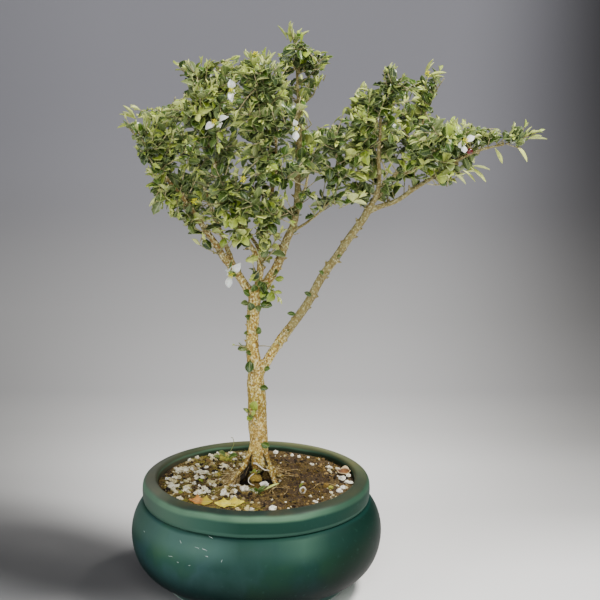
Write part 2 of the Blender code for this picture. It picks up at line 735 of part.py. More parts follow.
class Spray:
    """One leafy spray: its twigs in one bmesh, and the joints where leaves may still grow."""

    def __init__(self, name, limb, share, tips, wood):
        self.name = name
        self.random = random.Random(name)
        self.bm = bmesh.new()
        short = name in SHORT_SPRAYS
        self.leaf_scale = SHORT_SCALE if short else 1
        place, along, radius = limb.at(share)
        tips = [mm(*tip) for tip in tips]
        tips = [tip - (tip - place).normalized() * (END_LEAF * self.leaf_scale) for tip in tips]
        aim = (tips[0] - place).normalized()
        if share < 1:
            outward = (aim - along * aim.dot(along)).normalized()
            heading = (outward + along * 0.45).normalized()
        else:
            heading = (along + aim).normalized()
        start = self.seat(place + heading * (radius + GAP), heading, wood)
        main = Twig(start, heading, tips[0], *(SHORT_JOINTS if short else ()))
        self.joints = []
        self.ends = []
        bmesh.ops.create_cube(self.bm, size=1, matrix=self.foot_matrix(main))
        self.bm.normal_update()
        top = max(self.bm.faces, key=lambda face: face.normal.dot(heading))
        main.start = start + heading * STEM_START
        self.add_twig(main, top)
        self.main_joints = list(self.joints)
        for tip in tips[1:]:
            self.fork(tip)
        if not short:
            self.side_twig()

    def seat(self, start, heading, wood):
        """Slides the start along its heading until the twig's foot is GAP from the wood."""
        across = heading.orthogonal().normalized()
        for _ in range(4):
            corners = ring(start, across, heading.cross(across), TWIG_SIDE, TWIG_SIDE)
            nearest = min(wood.find_nearest(corner)[3] for corner in corners)
            start = start + heading * (GAP - nearest)
        return start

    def foot_matrix(self, twig):
        _, heading, across, along = twig.frames()[0]
        turn = Matrix((across, along, heading)).transposed().to_4x4()
        size = Matrix.Diagonal((TWIG_SIDE, TWIG_SIDE, STEM_FOOT, 1))
        return Matrix.Translation(twig.start + heading * (STEM_FOOT / 2)) @ turn @ size

    def add_twig(self, twig, face):
        joints, end = twig.build(self.bm, face)
        self.joints += joints
        self.ends.append((twig, end))
        CROWD.add(*twig.shell())

    def branch_off(self, joint, tip, first, spacing, must):
        """Grows a twig from one side of a joint to a tip, where there is room for it."""
        side = joint.take((tip - joint.place).normalized())
        if side is None:
            return False
        way, face = side
        heading = (way + joint.heading * 0.9).normalized()
        twig = Twig(joint.start(way) + heading * 0.8 * MM, heading, tip, first, spacing)
        if not must and not CROWD.has_room(*twig.shell(SPARE, TEST_FROM)):
            joint.free.append(side)
            return False
        self.add_twig(twig, face)
        CROWD.add(*twig.shell(0, NEAR_FROM), joint)
        return True

    def fork(self, tip):
        """A second long twig, from the lower half of the main one."""
        joint = self.main_joints[min(1, len(self.main_joints) - 1)]
        self.branch_off(joint, tip, FIRST_JOINT, JOINT_SPACING, True)

    def side_twig(self):
        """A short side twig on the upper part of the main one, where there is room for it."""
        for joint in self.main_joints[1:4]:
            aside = self.random.choice([way for way, _ in joint.free])
            way = (aside + joint.heading * 0.9 + UP * 0.3).normalized()
            length = SIDE_TWIG * self.random.uniform(0.8, 1.2)
            if self.branch_off(joint, joint.place + way * length, *SIDE_JOINTS, False):
                return

    def stalk(self, foot, facing):
        """A thin bare stalk from the nearest joint to just behind a flower. It may find no room."""
        for joint in sorted(self.joints, key=lambda each: (each.place - foot).length):
            side = joint.take(foot - joint.place)
            if side is None:
                continue
            out, face = side
            along = joint.heading.cross(out)
            start = joint.start(out)
            reach = (foot - start).length
            bow = start + (out + joint.heading * 0.4).normalized() * reach * 0.4
            before = foot - facing * reach * 0.25
            rings = []
            for t in (0.15, 0.4, 0.7, 1.0):
                place = start * (1 - t) ** 3 + bow * 3 * t * (1 - t) ** 2
                place += before * 3 * t ** 2 * (1 - t) + foot * t ** 3
                ahead = (bow - start) * (1 - t) ** 2 + (before - bow) * 2 * t * (1 - t)
                ahead = (ahead + (foot - before) * t ** 2).normalized()
                width = (along - ahead * along.dot(ahead)).normalized()
                rings.append(ring(place, width, ahead.cross(width), STALK_SIDE, STALK_SIDE))
            points, tree = ring_shell(rings)
            if CROWD.has_room(*ring_shell(rings[1:])):
                extrude_through(self.bm, face, rings)
                CROWD.add(points, tree)
                return True
            joint.free.append(side)
        return False

    def leaves(self):
        """Grows a leaf on each free side of each joint, and one at each tip, where there is room."""
        for number, joint in enumerate(self.joints):
            for place, (way, face) in enumerate(joint.free):
                draw = [self.random.uniform(-1, 1) for _ in range(3)]
                spiny = (number * 4 + place) % SPINY_EVERY == 0
                outline = Leaf.SPINY if spiny else Leaf.PLAIN
                self.leaf(joint, way, face, draw, outline, LEAF_PITCH[place // 2])
        for twig, end in self.ends:
            draw = [self.random.uniform(-1, 1) for _ in range(3)]
            self.end_leaf(twig, end, draw)

    def leaf(self, joint, way, face, draw, outline, pitch):
        """Grows one leaf, turned or shrunk until it stands clear, or left out."""
        length = LEAF_LENGTH * (1 + 0.14 * draw[0]) * self.leaf_scale
        width = LEAF_WIDTH * (1 + 0.12 * draw[1]) * self.leaf_scale
        across = (-way).cross(joint.heading).normalized()
        for turn, scale in ((0, 1), (14, 1), (-12, 0.9), (8, 0.75), (24, 0.7), (-18, 0.6)):
            angle = math.radians(pitch + turn + 7 * draw[2])
            out = joint.heading * math.cos(angle) + way * math.sin(angle)
            reach = length * scale
            leaf = Leaf(joint.start(way), out, across, reach, width * scale, LEAF_ARCH, outline)
            if self.try_leaf(leaf, face, joint):
                return

    def end_leaf(self, twig, end, draw):
        heading = twig.heading(1)
        across = heading.cross(UP).normalized()
        length = END_LEAF * (1 + 0.1 * draw[0]) * self.leaf_scale
        for scale in (1, 0.8, 0.6):
            width = 0.62 * length * scale
            leaf = Leaf(twig.tip, heading, across, length * scale, width, LEAF_ARCH / 2, Leaf.PLAIN)
            if self.try_leaf(leaf, end, twig):
                return

    def try_leaf(self, leaf, face, joint):
        if not CROWD.has_room(*leaf.shell(SPARE), but=joint):
            return False
        if not CROWD.has_room(*leaf.shell(NEAR_SPARE, NEAR_FROM), leaves_only=True):
            return False
        if not CROWD.has_room(*leaf.shell(NEAR_SPARE, FOOT_FROM), but=joint, leaves_only=True):
            return False
        leaf.build(self.bm, face)
        CROWD.add(*leaf.shell(0, FOOT_FROM), joint)
        return True

    def finish(self):
        bmesh.ops.triangulate(self.bm, faces=self.bm.faces)
        return add_object(self.name, self.bm, "leaf")


# Flowers

def turned_to(place, facing):
    """A matrix that stands a shape's Z along facing, at place."""
    turn = facing.to_track_quat("Z", "Y").to_matrix().to_4x4()
    return Matrix.Translation(place) @ turn


def petals(place, facing, scale, rng):
    """Five clawed, spoon-shaped petals round a small hub, in one bmesh."""
    bm = bmesh.new()
    bmesh.ops.create_cone(
        bm, cap_ends=True, segments=5, radius1=HUB_RADIUS, radius2=HUB_RADIUS, depth=HUB_HEIGHT
    )
    walls = [face for face in bm.faces if abs(face.normal.z) < 0.5]
    for wall in walls:
        out = Vector((wall.normal.x, wall.normal.y, 0)).normalized()
        across = UP.cross(out)
        tilt = rng.uniform(-0.1, 0.35)
        size = scale * rng.uniform(0.9, 1.08)
        centres = [
            (out * (reach * size) + UP * (tilt * reach - PETAL_CURL * reach ** 2)) * MM
            for reach in (*(reach for reach, _ in PETAL_RINGS), PETAL_TIP)
        ]
        rings = [
            ring(centre, across, UP, width * size * MM, PETAL_THICK)
            for centre, (_, width) in zip(centres, PETAL_RINGS)
        ]
        end = extrude_through(bm, wall, rings)
        poked = bmesh.ops.poke(bm, faces=[end])
        poked["verts"][0].co = centres[-1]
    bmesh.ops.triangulate(bm, faces=bm.faces)
    bmesh.ops.transform(bm, matrix=turned_to(place, facing), verts=bm.verts)
    return bm


def eye(place, facing, radius):
    """The yellow middle of a flower: a knot of stamens, with its points raised off a small ball."""
    bm = bmesh.new()
    bmesh.ops.create_icosphere(bm, subdivisions=1, radius=radius)
    front = [face for face in bm.faces if face.normal.z > 0.1]
    bmesh.ops.poke(bm, faces=front, offset=radius * 0.85)
    bmesh.ops.transform(bm, matrix=turned_to(place, facing), verts=bm.verts)
    return bm


def bmesh_shell(bm):
    return [vert.co.copy() for vert in bm.verts], BVHTree.FromBMesh(bm)


def make_blooms(sprays):
    for name, spray, middle, facing, has_petals, size in BLOOMS:
        middle = mm(*middle)
        facing = Vector(facing).normalized()
        if has_petals:
            bm = petals(middle, facing, size, random.Random(name))
            CROWD.add(*bmesh_shell(bm))
            add_object(f"{name}_petals", bm, "petal")
            radius = EYE_RADIUS * (0.3 + 0.7 * size)
            eye_place = middle + facing * (HUB_HEIGHT / 2 + GAP + radius)
            foot = middle - facing * (HUB_HEIGHT / 2 + GAP)
        else:
            radius = EYE_RADIUS * 1.15
            eye_place = middle
            foot = middle - facing * (radius + GAP)
        bm = eye(eye_place, facing, radius)
        CROWD.add(*bmesh_shell(bm))
        add_object(f"{name}_eye" if has_petals else name, bm, "eye")
        if not sprays[spray].stalk(foot, facing):
            print("no room for the stalk of", name)


# Fallen leaves

def make_fallen(name, middle, angle, length, width, curl, soil):
    """A dead leaf with a holly's pointed lobes, lying on the soil on its lowest points."""
    bm = bmesh.new()
    bmesh.ops.create_cube(bm, size=1, matrix=Matrix.Diagonal((0.8 * MM, 1.4 * MM, LEAF_THICK, 1)))
    face = max(bm.faces, key=lambda each: each.normal.x)
    rings = []
    for share, part in DEAD_LOBES:
        centre = Vector((share * length * MM, 0, curl * MM * (2 * share - 1) ** 2 - curl * MM))
        corners = ring(centre, Vector((0, 1, 0)), UP, part * width * MM, LEAF_THICK)
        rings.append(corners)
    end = extrude_through(bm, face, rings)
    poked = bmesh.ops.poke(bm, faces=[end])
    poked["verts"][0].co = Vector((length * MM, 0, 0))
    bmesh.ops.triangulate(bm, faces=bm.faces)
    turn = Matrix.Rotation(math.radians(angle), 4, "Z") @ Matrix.Translation((-length / 2 * MM, 0, 0))
    bmesh.ops.transform(bm, matrix=Matrix.Translation(mm(*middle, 90)) @ turn, verts=bm.verts)
    bmesh.ops.recalc_face_normals(bm, faces=bm.faces)
    ground = tree_of(soil)
    drop = min(
        vert.co.z - ground.ray_cast(vert.co, -UP)[0].z for vert in bm.verts
    )
    bmesh.ops.translate(bm, vec=-UP * (drop - 2 * GAP), verts=bm.verts)
    return add_object(name, bm, "dead_leaf")


CROWD = Crowd()


def main():
    clear_scene()
    make_pot()
    limbs = grown_limbs()
    roots = surface_roots()
    wood = fused("wood", [*limbs.values(), *roots])
    shade_round(wood, 50)
    soil = make_soil(fused("root_room", [limbs["trunk"], *roots], GAP))
    for fallen in FALLEN:
        make_fallen(*fallen, soil)
    surface = tree_of(wood)
    CROWD.add([vert.co for vert in wood.data.vertices], surface)
    sprays = {
        name: Spray(name, limbs[limb], share, tips, surface)
        for name, limb, share, tips in SPRAYS
    }
    make_blooms(sprays)
    for spray in sprays.values():
        spray.leaves()
    for spray in sprays.values():
        spray.finish()


main()
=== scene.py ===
"""The looks of a dwarf holly bonsai in flower, in a round teal-glazed pot.

Metres, +Z up, seen from -Y. The skeleton of the tree is the same as in the solids: the same knots,
branches, sprays and flowers. Here each spray is leafed out in full, the wood gets its bark, the soil
its crumb, moss and perlite, and the pot its glaze.
"""

import random
from math import cos, exp, hypot, pi, radians, sin, sqrt, tau

import bmesh
import bpy
from mathutils import Matrix, Vector, noise


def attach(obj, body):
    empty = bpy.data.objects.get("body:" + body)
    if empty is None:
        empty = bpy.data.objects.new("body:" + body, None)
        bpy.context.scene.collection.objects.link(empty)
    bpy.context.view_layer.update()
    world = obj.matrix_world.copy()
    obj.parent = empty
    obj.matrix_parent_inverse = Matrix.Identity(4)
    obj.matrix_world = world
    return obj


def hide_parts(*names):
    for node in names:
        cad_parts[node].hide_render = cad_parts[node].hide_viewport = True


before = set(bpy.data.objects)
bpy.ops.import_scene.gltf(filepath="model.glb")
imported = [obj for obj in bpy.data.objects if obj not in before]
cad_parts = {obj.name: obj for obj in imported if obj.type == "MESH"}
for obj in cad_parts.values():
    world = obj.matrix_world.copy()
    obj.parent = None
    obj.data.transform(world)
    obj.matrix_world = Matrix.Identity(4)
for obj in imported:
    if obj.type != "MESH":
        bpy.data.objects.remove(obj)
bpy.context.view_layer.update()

MM = 0.001
UP = Vector((0, 0, 1))

# The camera that fits the photograph
CAMERA_PLACE = (31.4, -1223.1, 519.4)  # mm
CAMERA_PITCH = 14.2  # degrees down
LENS = 108.1
SENSOR = 36.0

# The pot, as in the solids
POT_SIDES = 128
POT_HEIGHT = 79 * MM
FLOOR_HEIGHT = 12 * MM
FOOT_RADIUS = 65.5 * MM
FOOT_HEIGHT = 7 * MM
BELLY_CORE = 67 * MM
BELLY_SWELL = 23 * MM
BELLY_HEIGHT = 40 * MM
BELLY_DROP = 31.8 * MM
BELLY_RISE = 29.5 * MM
BELLY_TOP_ANGLE = 51
RIM_RADIUS = 81.5 * MM
MOUTH_RADIUS = 70.5 * MM
DRAIN_RADIUS = 6 * MM
DRAIN_CIRCLE = 34 * MM
DRAIN_COUNT = 3
# Knots of the band round the rim, out from its radius and up from the pot's height (mm), and of the
# lip, out from the radius of the mouth
BAND = ((-2.1, -15.8), (-1.0, -14.9), (-0.1, -11.6), (0, -5.0), (-1.2, -1.0), (-4.7, 1.2))
LIP = ((2.4, 1.7), (0.5, 0.3), (0, -3.5))

# The soil
SOIL_EDGE = 74.8 * MM
SOIL_MOUND = 3.6 * MM
SOIL_LUMP = 1.5 * MM
LUMPS_PER_METRE = 95
SOIL_SIDES = 200
SOIL_RINGS = 62
PIT_REACH = 14.5 * MM  # the soil is washed out under the flare of the trunk
PIT_DEPTH = 10.8 * MM
SOIL_LIFT = 1.2  # mm, from the soil of the solids up to this one
PERLITE_GRAINS = 300
CRUMBS = 1000
MOSS_TUFTS = 1500
SMALLEST_GRAIN = 0.8 * MM
GRAIN_SINK = 0.2  # share of a grain's size that is in the soil
BARE_RING = 13.5 * MM  # round the trunk, where nothing is strewn
WALL_GAP = 0.35 * MM  # between the soil and the pot

# Knots of the wood, in millimetres: x, y, z and radius
TRUNK = (
    (2, 0, 62, 8.4), (2, 0, 74, 8.9), (2, 0, 81, 7.6), (2, 0, 90, 6.8), (2, 0, 107, 6.6),
    (1, 0, 122, 6.7), (1, 0, 137, 6.6), (0, -1, 150, 6.2), (0, -1, 160, 5.6), (-2, -2, 174, 4.5),
    (-2, -2, 189, 4.3), (-1, -1, 203, 4.6), (0, 0, 214, 4.4), (1, 0, 219, 3.6),
)
# Name, radius at the start and at the end, and the knots (x, y, z) of each branch
BRANCHES = (
    ("limb", 3.3, 2.4, ((0, 0, 151), (6, 0, 162), (16, 1, 178), (26, 2, 194), (36, 4, 208), (45, 6, 225),
        (55, 7, 239), (65, 8, 254), (75, 8, 268), (79, 8, 274))),
    ("limb_up", 2.0, 0.9, ((76, 8, 269), (84, 5, 283), (86, 0, 296), (85, -5, 313), (86, -10, 330),
        (86, -14, 342), (90, -16, 354))),
    ("limb_back", 1.5, 0.8, ((86, 1, 294), (84, 20, 306), (75, 38, 317), (68, 48, 331))),
    ("limb_slant", 1.8, 0.8, ((79, 8, 274), (96, 14, 294), (107, 22, 309), (115, 28, 325), (121, 32, 342))),
    ("limb_front", 1.4, 0.8, ((93, 13, 290), (101, -5, 299), (113, -20, 309), (123, -32, 321))),
    ("limb_long", 2.1, 0.9, ((76, 8, 270), (87, 8, 275), (98, 7, 279), (109, 5, 287), (119, 3, 294),
        (130, 0, 301), (140, -3, 310), (155, -5, 317), (171, -6, 321))),
    ("left_low", 2.9, 0.9, ((-1, 0, 211), (-13, -3, 231), (-21, -6, 241), (-26, -9, 251), (-33, -13, 262),
        (-39, -18, 273), (-47, -24, 286), (-56, -30, 299), (-63, -34, 311))),
    ("left_back", 2.0, 0.8, ((-13, -3, 231), (-23, 8, 254), (-29, 13, 268), (-35, 20, 284), (-40, 27, 302),
        (-48, 32, 316), (-59, 36, 326))),
    ("middle_left", 2.2, 0.8, ((1, 0, 214), (4, -4, 236), (-5, -10, 255), (-15, -18, 279), (-21, -22, 296),
        (-27, -26, 313), (-31, -30, 334), (-32, -32, 355))),
    ("middle_back", 2.3, 0.8, ((1, 1, 215), (3, 5, 230), (4, 9, 246), (4, 14, 263), (6, 20, 284),
        (3, 28, 304), (-1, 36, 328), (-5, 42, 348))),
    ("far_back", 1.5, 0.8, ((4, 8, 243), (-7, 25, 256), (-17, 45, 271), (-25, 58, 288))),
    ("middle_front", 1.9, 0.8, ((3, -3, 232), (8, -8, 258), (11, -14, 282), (15, -26, 307), (15, -36, 332),
        (10, -40, 356))),
    ("leader", 3.5, 0.9, ((0, 0, 210), (8, 2, 222), (16, 3, 235), (22, 4, 252), (27, 4, 263), (29, 4, 275),
        (30, 4, 294), (31, 4, 315), (31, 3, 335), (30, 2, 357), (29, 1, 376))),
    ("leader_front", 1.6, 0.8, ((24, 4, 257), (36, -4, 266), (47, -12, 277), (55, -16, 288), (57, -20, 301),
        (56, -24, 315))),
    ("leader_back", 1.6, 0.8, ((27, 4, 264), (33, 22, 277), (37, 40, 291), (39, 52, 307))),
)
SKIN_GRAIN = 0.72 * MM  # the fineness of the fused wood
BAR_SIDES = 6
ROOT_BEND = 1.8 * MM
# Compass angle in degrees, reach and thickness (mm) of each surface root; 270 faces the viewer
ROOTS = (
    (196, 20, 2.3), (228, 29, 2.6), (262, 18, 2.7), (300, 23, 2.5), (338, 17, 2.1),
    (22, 22, 2.2), (75, 19, 2.5), (122, 23, 2.3), (160, 17, 2.0),
)

# Each leafy spray: name, the branch that it grows on, how far along (0 to 1), and where its tips
# end (mm). The first tip is the main twig's, and the others fork off it.
SPRAYS = (
    ("spray_left_tip", "left_low", 1.0, ((-88, -18, 339), (-66, -62, 318))),
    ("spray_left_edge", "left_low", 0.8, ((-69, -46, 287),)),
    ("spray_left_under", "left_low", 0.6, ((-50, -42, 269),)),
    ("spray_left_low", "left_low", 0.35, ((-32, -34, 250),)),
    ("spray_left_top", "left_back", 1.0, ((-76, 20, 347), (-46, 12, 354))),
    ("spray_left_back", "left_back", 0.85, ((-75, 54, 313),)),
    ("spray_left_inner", "left_back", 0.58, ((-52, 54, 286),)),
    ("spray_back_tip", "far_back", 1.0, ((-45, 78, 304), (-14, 80, 308))),
    ("spray_back_low", "far_back", 0.6, ((-34, 50, 260),)),
    ("spray_crown_left", "middle_left", 1.0, ((-54, -20, 381), (-12, -26, 386))),
    ("spray_crown_front", "middle_left", 0.88, ((-36, -56, 378), (-56, -56, 354))),
    ("spray_front_left", "middle_left", 0.5, ((-26, -60, 320),)),
    ("spray_crown_back", "middle_back", 1.0, ((-2, 38, 386), (-30, 62, 358))),
    ("spray_crown_rear", "middle_back", 0.82, ((16, 66, 362),)),
    ("spray_front_top", "middle_front", 1.0, ((4, -60, 386), (-12, -66, 352))),
    ("spray_front_right", "middle_front", 0.8, ((34, -60, 358),)),
    ("spray_front_side", "middle_front", 0.55, ((36, -50, 318),)),
    ("spray_front_low", "middle_front", 0.3, ((18, -48, 284), (-10, -48, 294))),
    ("spray_top", "leader", 1.0, ((25, 4, 404), (42, -28, 384))),
    ("spray_top_right", "leader", 0.82, ((56, 14, 376), (46, 28, 360))),
    ("spray_right_edge", "leader", 0.72, ((52, -18, 354),)),
    ("spray_right_back", "leader", 0.55, ((58, 32, 334),)),
    ("spray_mid_front", "leader_front", 1.0, ((54, -50, 340),)),
    ("spray_mid_low", "leader_front", 0.55, ((64, -36, 276),)),
    ("spray_rear_right", "leader_back", 1.0, ((50, 76, 330), (20, 70, 320))),
    ("spray_hub", "leader", 0.06, ((19, -14, 214),)),
    ("spray_up_tip", "limb_up", 1.0, ((86, -22, 379), (108, -38, 364))),
    ("spray_up_front", "limb_up", 0.75, ((66, -42, 350),)),
    ("spray_up_left", "limb_up", 0.5, ((60, 0, 326), (76, -32, 322))),
    ("spray_slant_tip", "limb_slant", 1.0, ((134, 24, 367), (102, 46, 358))),
    ("spray_slant_back", "limb_slant", 0.6, ((142, 46, 330),)),
    ("spray_long_tip", "limb_long", 1.0, ((198, -6, 331), (180, -28, 313))),
    ("spray_long_top", "limb_long", 0.76, ((170, 12, 340), (148, -6, 338))),
    ("spray_long_low", "limb_long", 0.5, ((142, -20, 289), (116, -26, 296))),
    ("spray_long_back", "limb_long", 0.62, ((152, 30, 316),)),
    ("spray_fore_tip", "limb_front", 1.0, ((148, -40, 338), (110, -60, 340))),
    ("spray_rear_tip", "limb_back", 1.0, ((72, 64, 348), (94, 68, 336))),
    ("spray_rear_low", "limb_back", 0.5, ((62, 34, 300),)),
    ("shoot_trunk_low", "trunk", 0.39, ((-7, -17, 134),)),
    ("shoot_trunk_high", "trunk", 0.72, ((-17, -8, 180),)),
)
SHORT_SPRAYS = {"spray_hub": 0.85, "shoot_trunk_low": 0.62, "shoot_trunk_high": 0.62}

# Each flower: name, middle (mm), the way it faces, whether it still has its petals, and its size
BLOOMS = (
    ("bloom_low", (-16, -27, 236), (0.1, -1.0, -0.1), True, 0.95),
    ("bloom_left", (-22, -70, 345), (-0.4, -0.9, 0.4), True, 0.72),
    ("bloom_high", (-12, -74, 366), (-0.2, -0.9, 0.5), True, 0.72),
    ("bloom_middle", (29, -72, 342), (0.2, -1.0, 0.1), True, 0.62),
    ("bloom_right", (138, -58, 330), (0.3, -0.8, 0.6), True, 0.78),
    ("eye_left", (-38, -50, 290), (-0.3, -0.9, 0.3), False, 1.0),
    ("eye_inner", (-6, -56, 306), (0.0, -1.0, 0.2), False, 1.0),
    ("eye_top", (2, -36, 385), (0.1, -0.7, 0.7), False, 1.0),
    ("eye_slant", (119, 14, 366), (0.0, -0.7, 0.7), False, 1.0),
    ("eye_limb", (74, -14, 330), (0.0, -0.9, 0.4), False, 1.0),
)

# The crown's outline as seen from the front (x, z in mm, on the plane through the trunk): leaves that
# would hang outside it are left off, as if it had been clipped
OUTLINE = (
    (-91, 337), (-89, 346), (-80, 351), (-77, 345), (-64, 346), (-55, 350), (-48, 351), (-50, 361),
    (-53, 369), (-56, 378), (-48, 378), (-41, 379), (-34, 384), (-29, 379), (-23, 377), (-12, 382), (-2, 387),
    (7, 388), (14, 386), (21, 386), (23, 393), (18, 399), (19, 405), (23, 400), (26, 407), (28, 400),
    (37, 399), (38, 397), (30, 391), (42, 386), (49, 386), (56, 382), (53, 372), (46, 373), (50, 369),
    (46, 365), (38, 359), (37, 352), (36, 345), (35, 338), (34, 330), (45, 331), (55, 335), (60, 341),
    (66, 355), (70, 364), (78, 364), (86, 365), (87, 371), (91, 377), (99, 376), (107, 371), (108, 367),
    (118, 368), (119, 372), (130, 376), (132, 373), (129, 369), (136, 367), (129, 364), (121, 360),
    (124, 355), (121, 350), (122, 342), (130, 339), (140, 340), (148, 335), (161, 331), (170, 330),
    (178, 336), (185, 338), (190, 332), (200, 331), (198, 327), (188, 324), (184, 320), (180, 318),
    (172, 319), (166, 317), (160, 315), (152, 312), (156, 305), (158, 300), (150, 300), (146, 299),
    (146, 292), (141, 291), (133, 292), (128, 291), (120, 291), (110, 288), (101, 290), (90, 284), (77, 278),
    (68, 279), (60, 278), (52, 279), (45, 273), (38, 266), (31, 257), (26, 248), (22, 236), (24, 222),
    (24, 208), (8, 204), (-14, 214), (-20, 228), (-21, 237), (-33, 246), (-43, 250), (-48, 262), (-57, 267),
    (-62, 273), (-72, 270), (-73, 278), (-69, 285), (-75, 289), (-75, 300), (-80, 308), (-80, 314),
    (-85, 318), (-83, 325),
)
# Gaps inside the crown where the background shows, in the same view: middle (x, z) and radius
GAPS = (
    (-11, 243, 5), (-6, 237, 3.5), (-17, 248, 4), (-35, 279, 3.5), (-29, 275, 3), (-16, 272, 3.5),
    (9, 262, 3.5), (10, 248, 3), (38, 293, 5.5), (47, 291, 4.5), (36, 277, 5), (40, 343, 4), (-64, 287, 3),
    (16, 262, 2.5), (26.5, 389, 3), (23.6, 391, 3),
)
# Stretches of wood that show between the leaves, in the same view: from x, z to x, z, and half the
# width of the gap
BARE = (
    (29, 374, 29, 318, 2.2), (-51, 328, -30, 303, 1.8), (-36, 263, -4, 217, 3.2), (85, 338, 87, 290, 1.8),
    (79, 275, 117, 350, 1.8), (87, 277, 124, 295, 2.6), (155, 316, 172, 321, 2.0), (-3, 268, 5, 225, 1.4),
    (31, 295, 6, 226, 3.2),
)
# Leafy twigs in the heart of the crown, in runs on one branch: how far along it each springs, and where
# its tip ends (mm)
INNER_TWIGS = {
    "leaves_heart_left": (
        ("middle_left", (0.97, -24, -58, 364), (0.95, -15, -62, 358)), ("middle_front", (0.97, -8, -45, 363),
        (0.88, -10, -60, 350)), ("middle_left", (0.82, -19, -62, 339)), ("middle_front", (0.8, -6, -50, 338)),
        ("middle_left", (0.88, -27, -30, 346), (0.97, -14, -20, 364), (0.88, -11, 0, 348)),
        ("middle_back", (0.83, -20, 10, 335)), ("middle_front", (0.65, -3, -50, 320), (0.55, 0, -45, 308)),
        ("middle_left", (0.55, -5, -40, 297)), ("left_low", (0.97, -51, -45, 317), (0.82, -50, -10, 302)),
        ("leader", (0.97, 18, -20, 383)), ("middle_front", (0.97, 22, -30, 376)),
        ("leader", (0.97, 46, 0, 383), (0.97, 52, -6, 380), (0.95, 46, -18, 374)),
        ("middle_front", (0.97, 6, -30, 380), (0.72, -9, -34, 315)), ("middle_left", (0.75, -9, -28, 325)),
        ("left_back", (0.8, -47, 6, 304)), ("left_low", (0.97, -55, -24, 328)),
        ("left_back", (0.9, -48, 14, 314)), ("left_low", (0.75, -50, -20, 302), (0.6, -35, -10, 286),
        (0.55, -35, -20, 260), (0.9, -67, -34, 288), (0.5, -39, -20, 251), (0.85, -69, -34, 275),
        (0.96, -70, -34, 297), (0.98, -78, -30, 337)), ("left_back", (0.97, -68, 8, 337)),
        ("left_low", (0.98, -66, -40, 335)), ("middle_left", (0.97, -49, -24, 360), (0.92, -49, -30, 350),
        (0.98, -34, -30, 381), (0.98, -11, -40, 381)), ("middle_front", (0.98, -1, -44, 386),
        (0.98, 8, -44, 386), (0.35, 19, -22, 286)), ("leader", (0.36, 22, -8, 284), (0.84, 22, -8, 356)),
    ),
    "leaves_heart_right": (
        ("limb_up", (0.93, 98, -20, 352), (0.77, 95, -30, 340)), ("limb_front", (0.97, 104, -36, 335),
        (0.67, 102, -20, 320)), ("limb_up", (0.57, 94, 10, 321)), ("limb_slant", (0.88, 110, 40, 336)),
        ("limb_up", (0.27, 68, 10, 296), (0.18, 73, -8, 288), (0.05, 66, 0, 277)),
        ("limb_front", (0.37, 91, -20, 304)), ("limb_up", (0.25, 97, -10, 294)),
        ("limb_long", (0.15, 92, 25, 281)), ("leader_front", (0.8, 75, -20, 306), (0.38, 52, -10, 280)),
        ("limb_up", (0.07, 63, 6, 284)), ("limb_slant", (0.6, 102, 8, 331), (0.78, 100, 10, 341)),
        ("limb_front", (0.7, 104, -20, 322)), ("leader_front", (0.8, 48, -22, 307)),
        ("limb_long", (0.7, 138, -6, 337), (0.78, 144, -6, 334)), ("limb_up", (0.62, 62, -6, 337),
        (0.98, 94, -18, 373), (0.95, 76, -18, 360)), ("limb_long", (0.2, 96, 2, 288)),
        ("limb_slant", (0.97, 123, 20, 348)), ("limb_long", (0.95, 166, -4, 325)),
        ("limb_up", (0.5, 92, 6, 301)),
    ),
    "leaves_at_fork": (
        ("middle_front", (0.04, 9, -14, 235)), ("middle_left", (0.3, 0, -20, 267), (0.07, -3, -14, 228),
        (0.15, 9, -16, 241)), ("middle_front", (0.12, 15, -12, 251), (0.17, 7, -22, 258)),
        ("middle_left", (0.3, -7, -28, 262)), ("middle_back", (0.15, 2, 14, 243)),
        ("middle_left", (0.47, -25, -30, 283), (0.47, -14, -36, 285), (0.43, -2, -36, 280)),
        ("middle_front", (0.27, 10, -30, 272), (0.2, 20, -14, 261)),
    ),
}

# Twigs and leaves
TWIG_RADIUS = 0.55 * MM
TWIG_TIP_RADIUS = 0.38 * MM
LEAF_LENGTH = 9.3 * MM
LEAF_WIDTH = 6.2 * MM
PAIR_SPACING = 4.5 * MM
SIDE_SPACING = 6.0 * MM
SIDE_TWIG = 19 * MM
LONG_TWIG = 24 * MM
FIRST_PAIR = 1.8 * MM  # from the foot of a twig
SHORT_SHOOTS = 6  # under each spray
SKIPPED_SHARE = 0.06  # of the leaves
SPINY_SHARE = 0.35
# Share along a leaf and its half width there, as a share of its width
SPINY = ((0, 0.05), (0.1, 0.08), (0.26, 0.45), (0.38, 0.38), (0.52, 0.5), (0.65, 0.41), (0.8, 0.36), (1, 0))
ROUND = ((0, 0.05), (0.1, 0.09), (0.24, 0.36), (0.42, 0.48), (0.6, 0.5), (0.78, 0.4), (0.92, 0.2), (1, 0))
YOUNG = ((0, 0.07), (0.1, 0.14), (0.26, 0.36), (0.45, 0.48), (0.65, 0.45), (0.82, 0.3), (0.94, 0.13), (1, 0))


def mm(*values):
    """A point given in millimetres, as a Vector in metres."""
    return Vector(values) * MM


def limited(value):
    """The value, kept between 0 and 1."""
    return min(1.0, max(0.0, value))


# Finishes

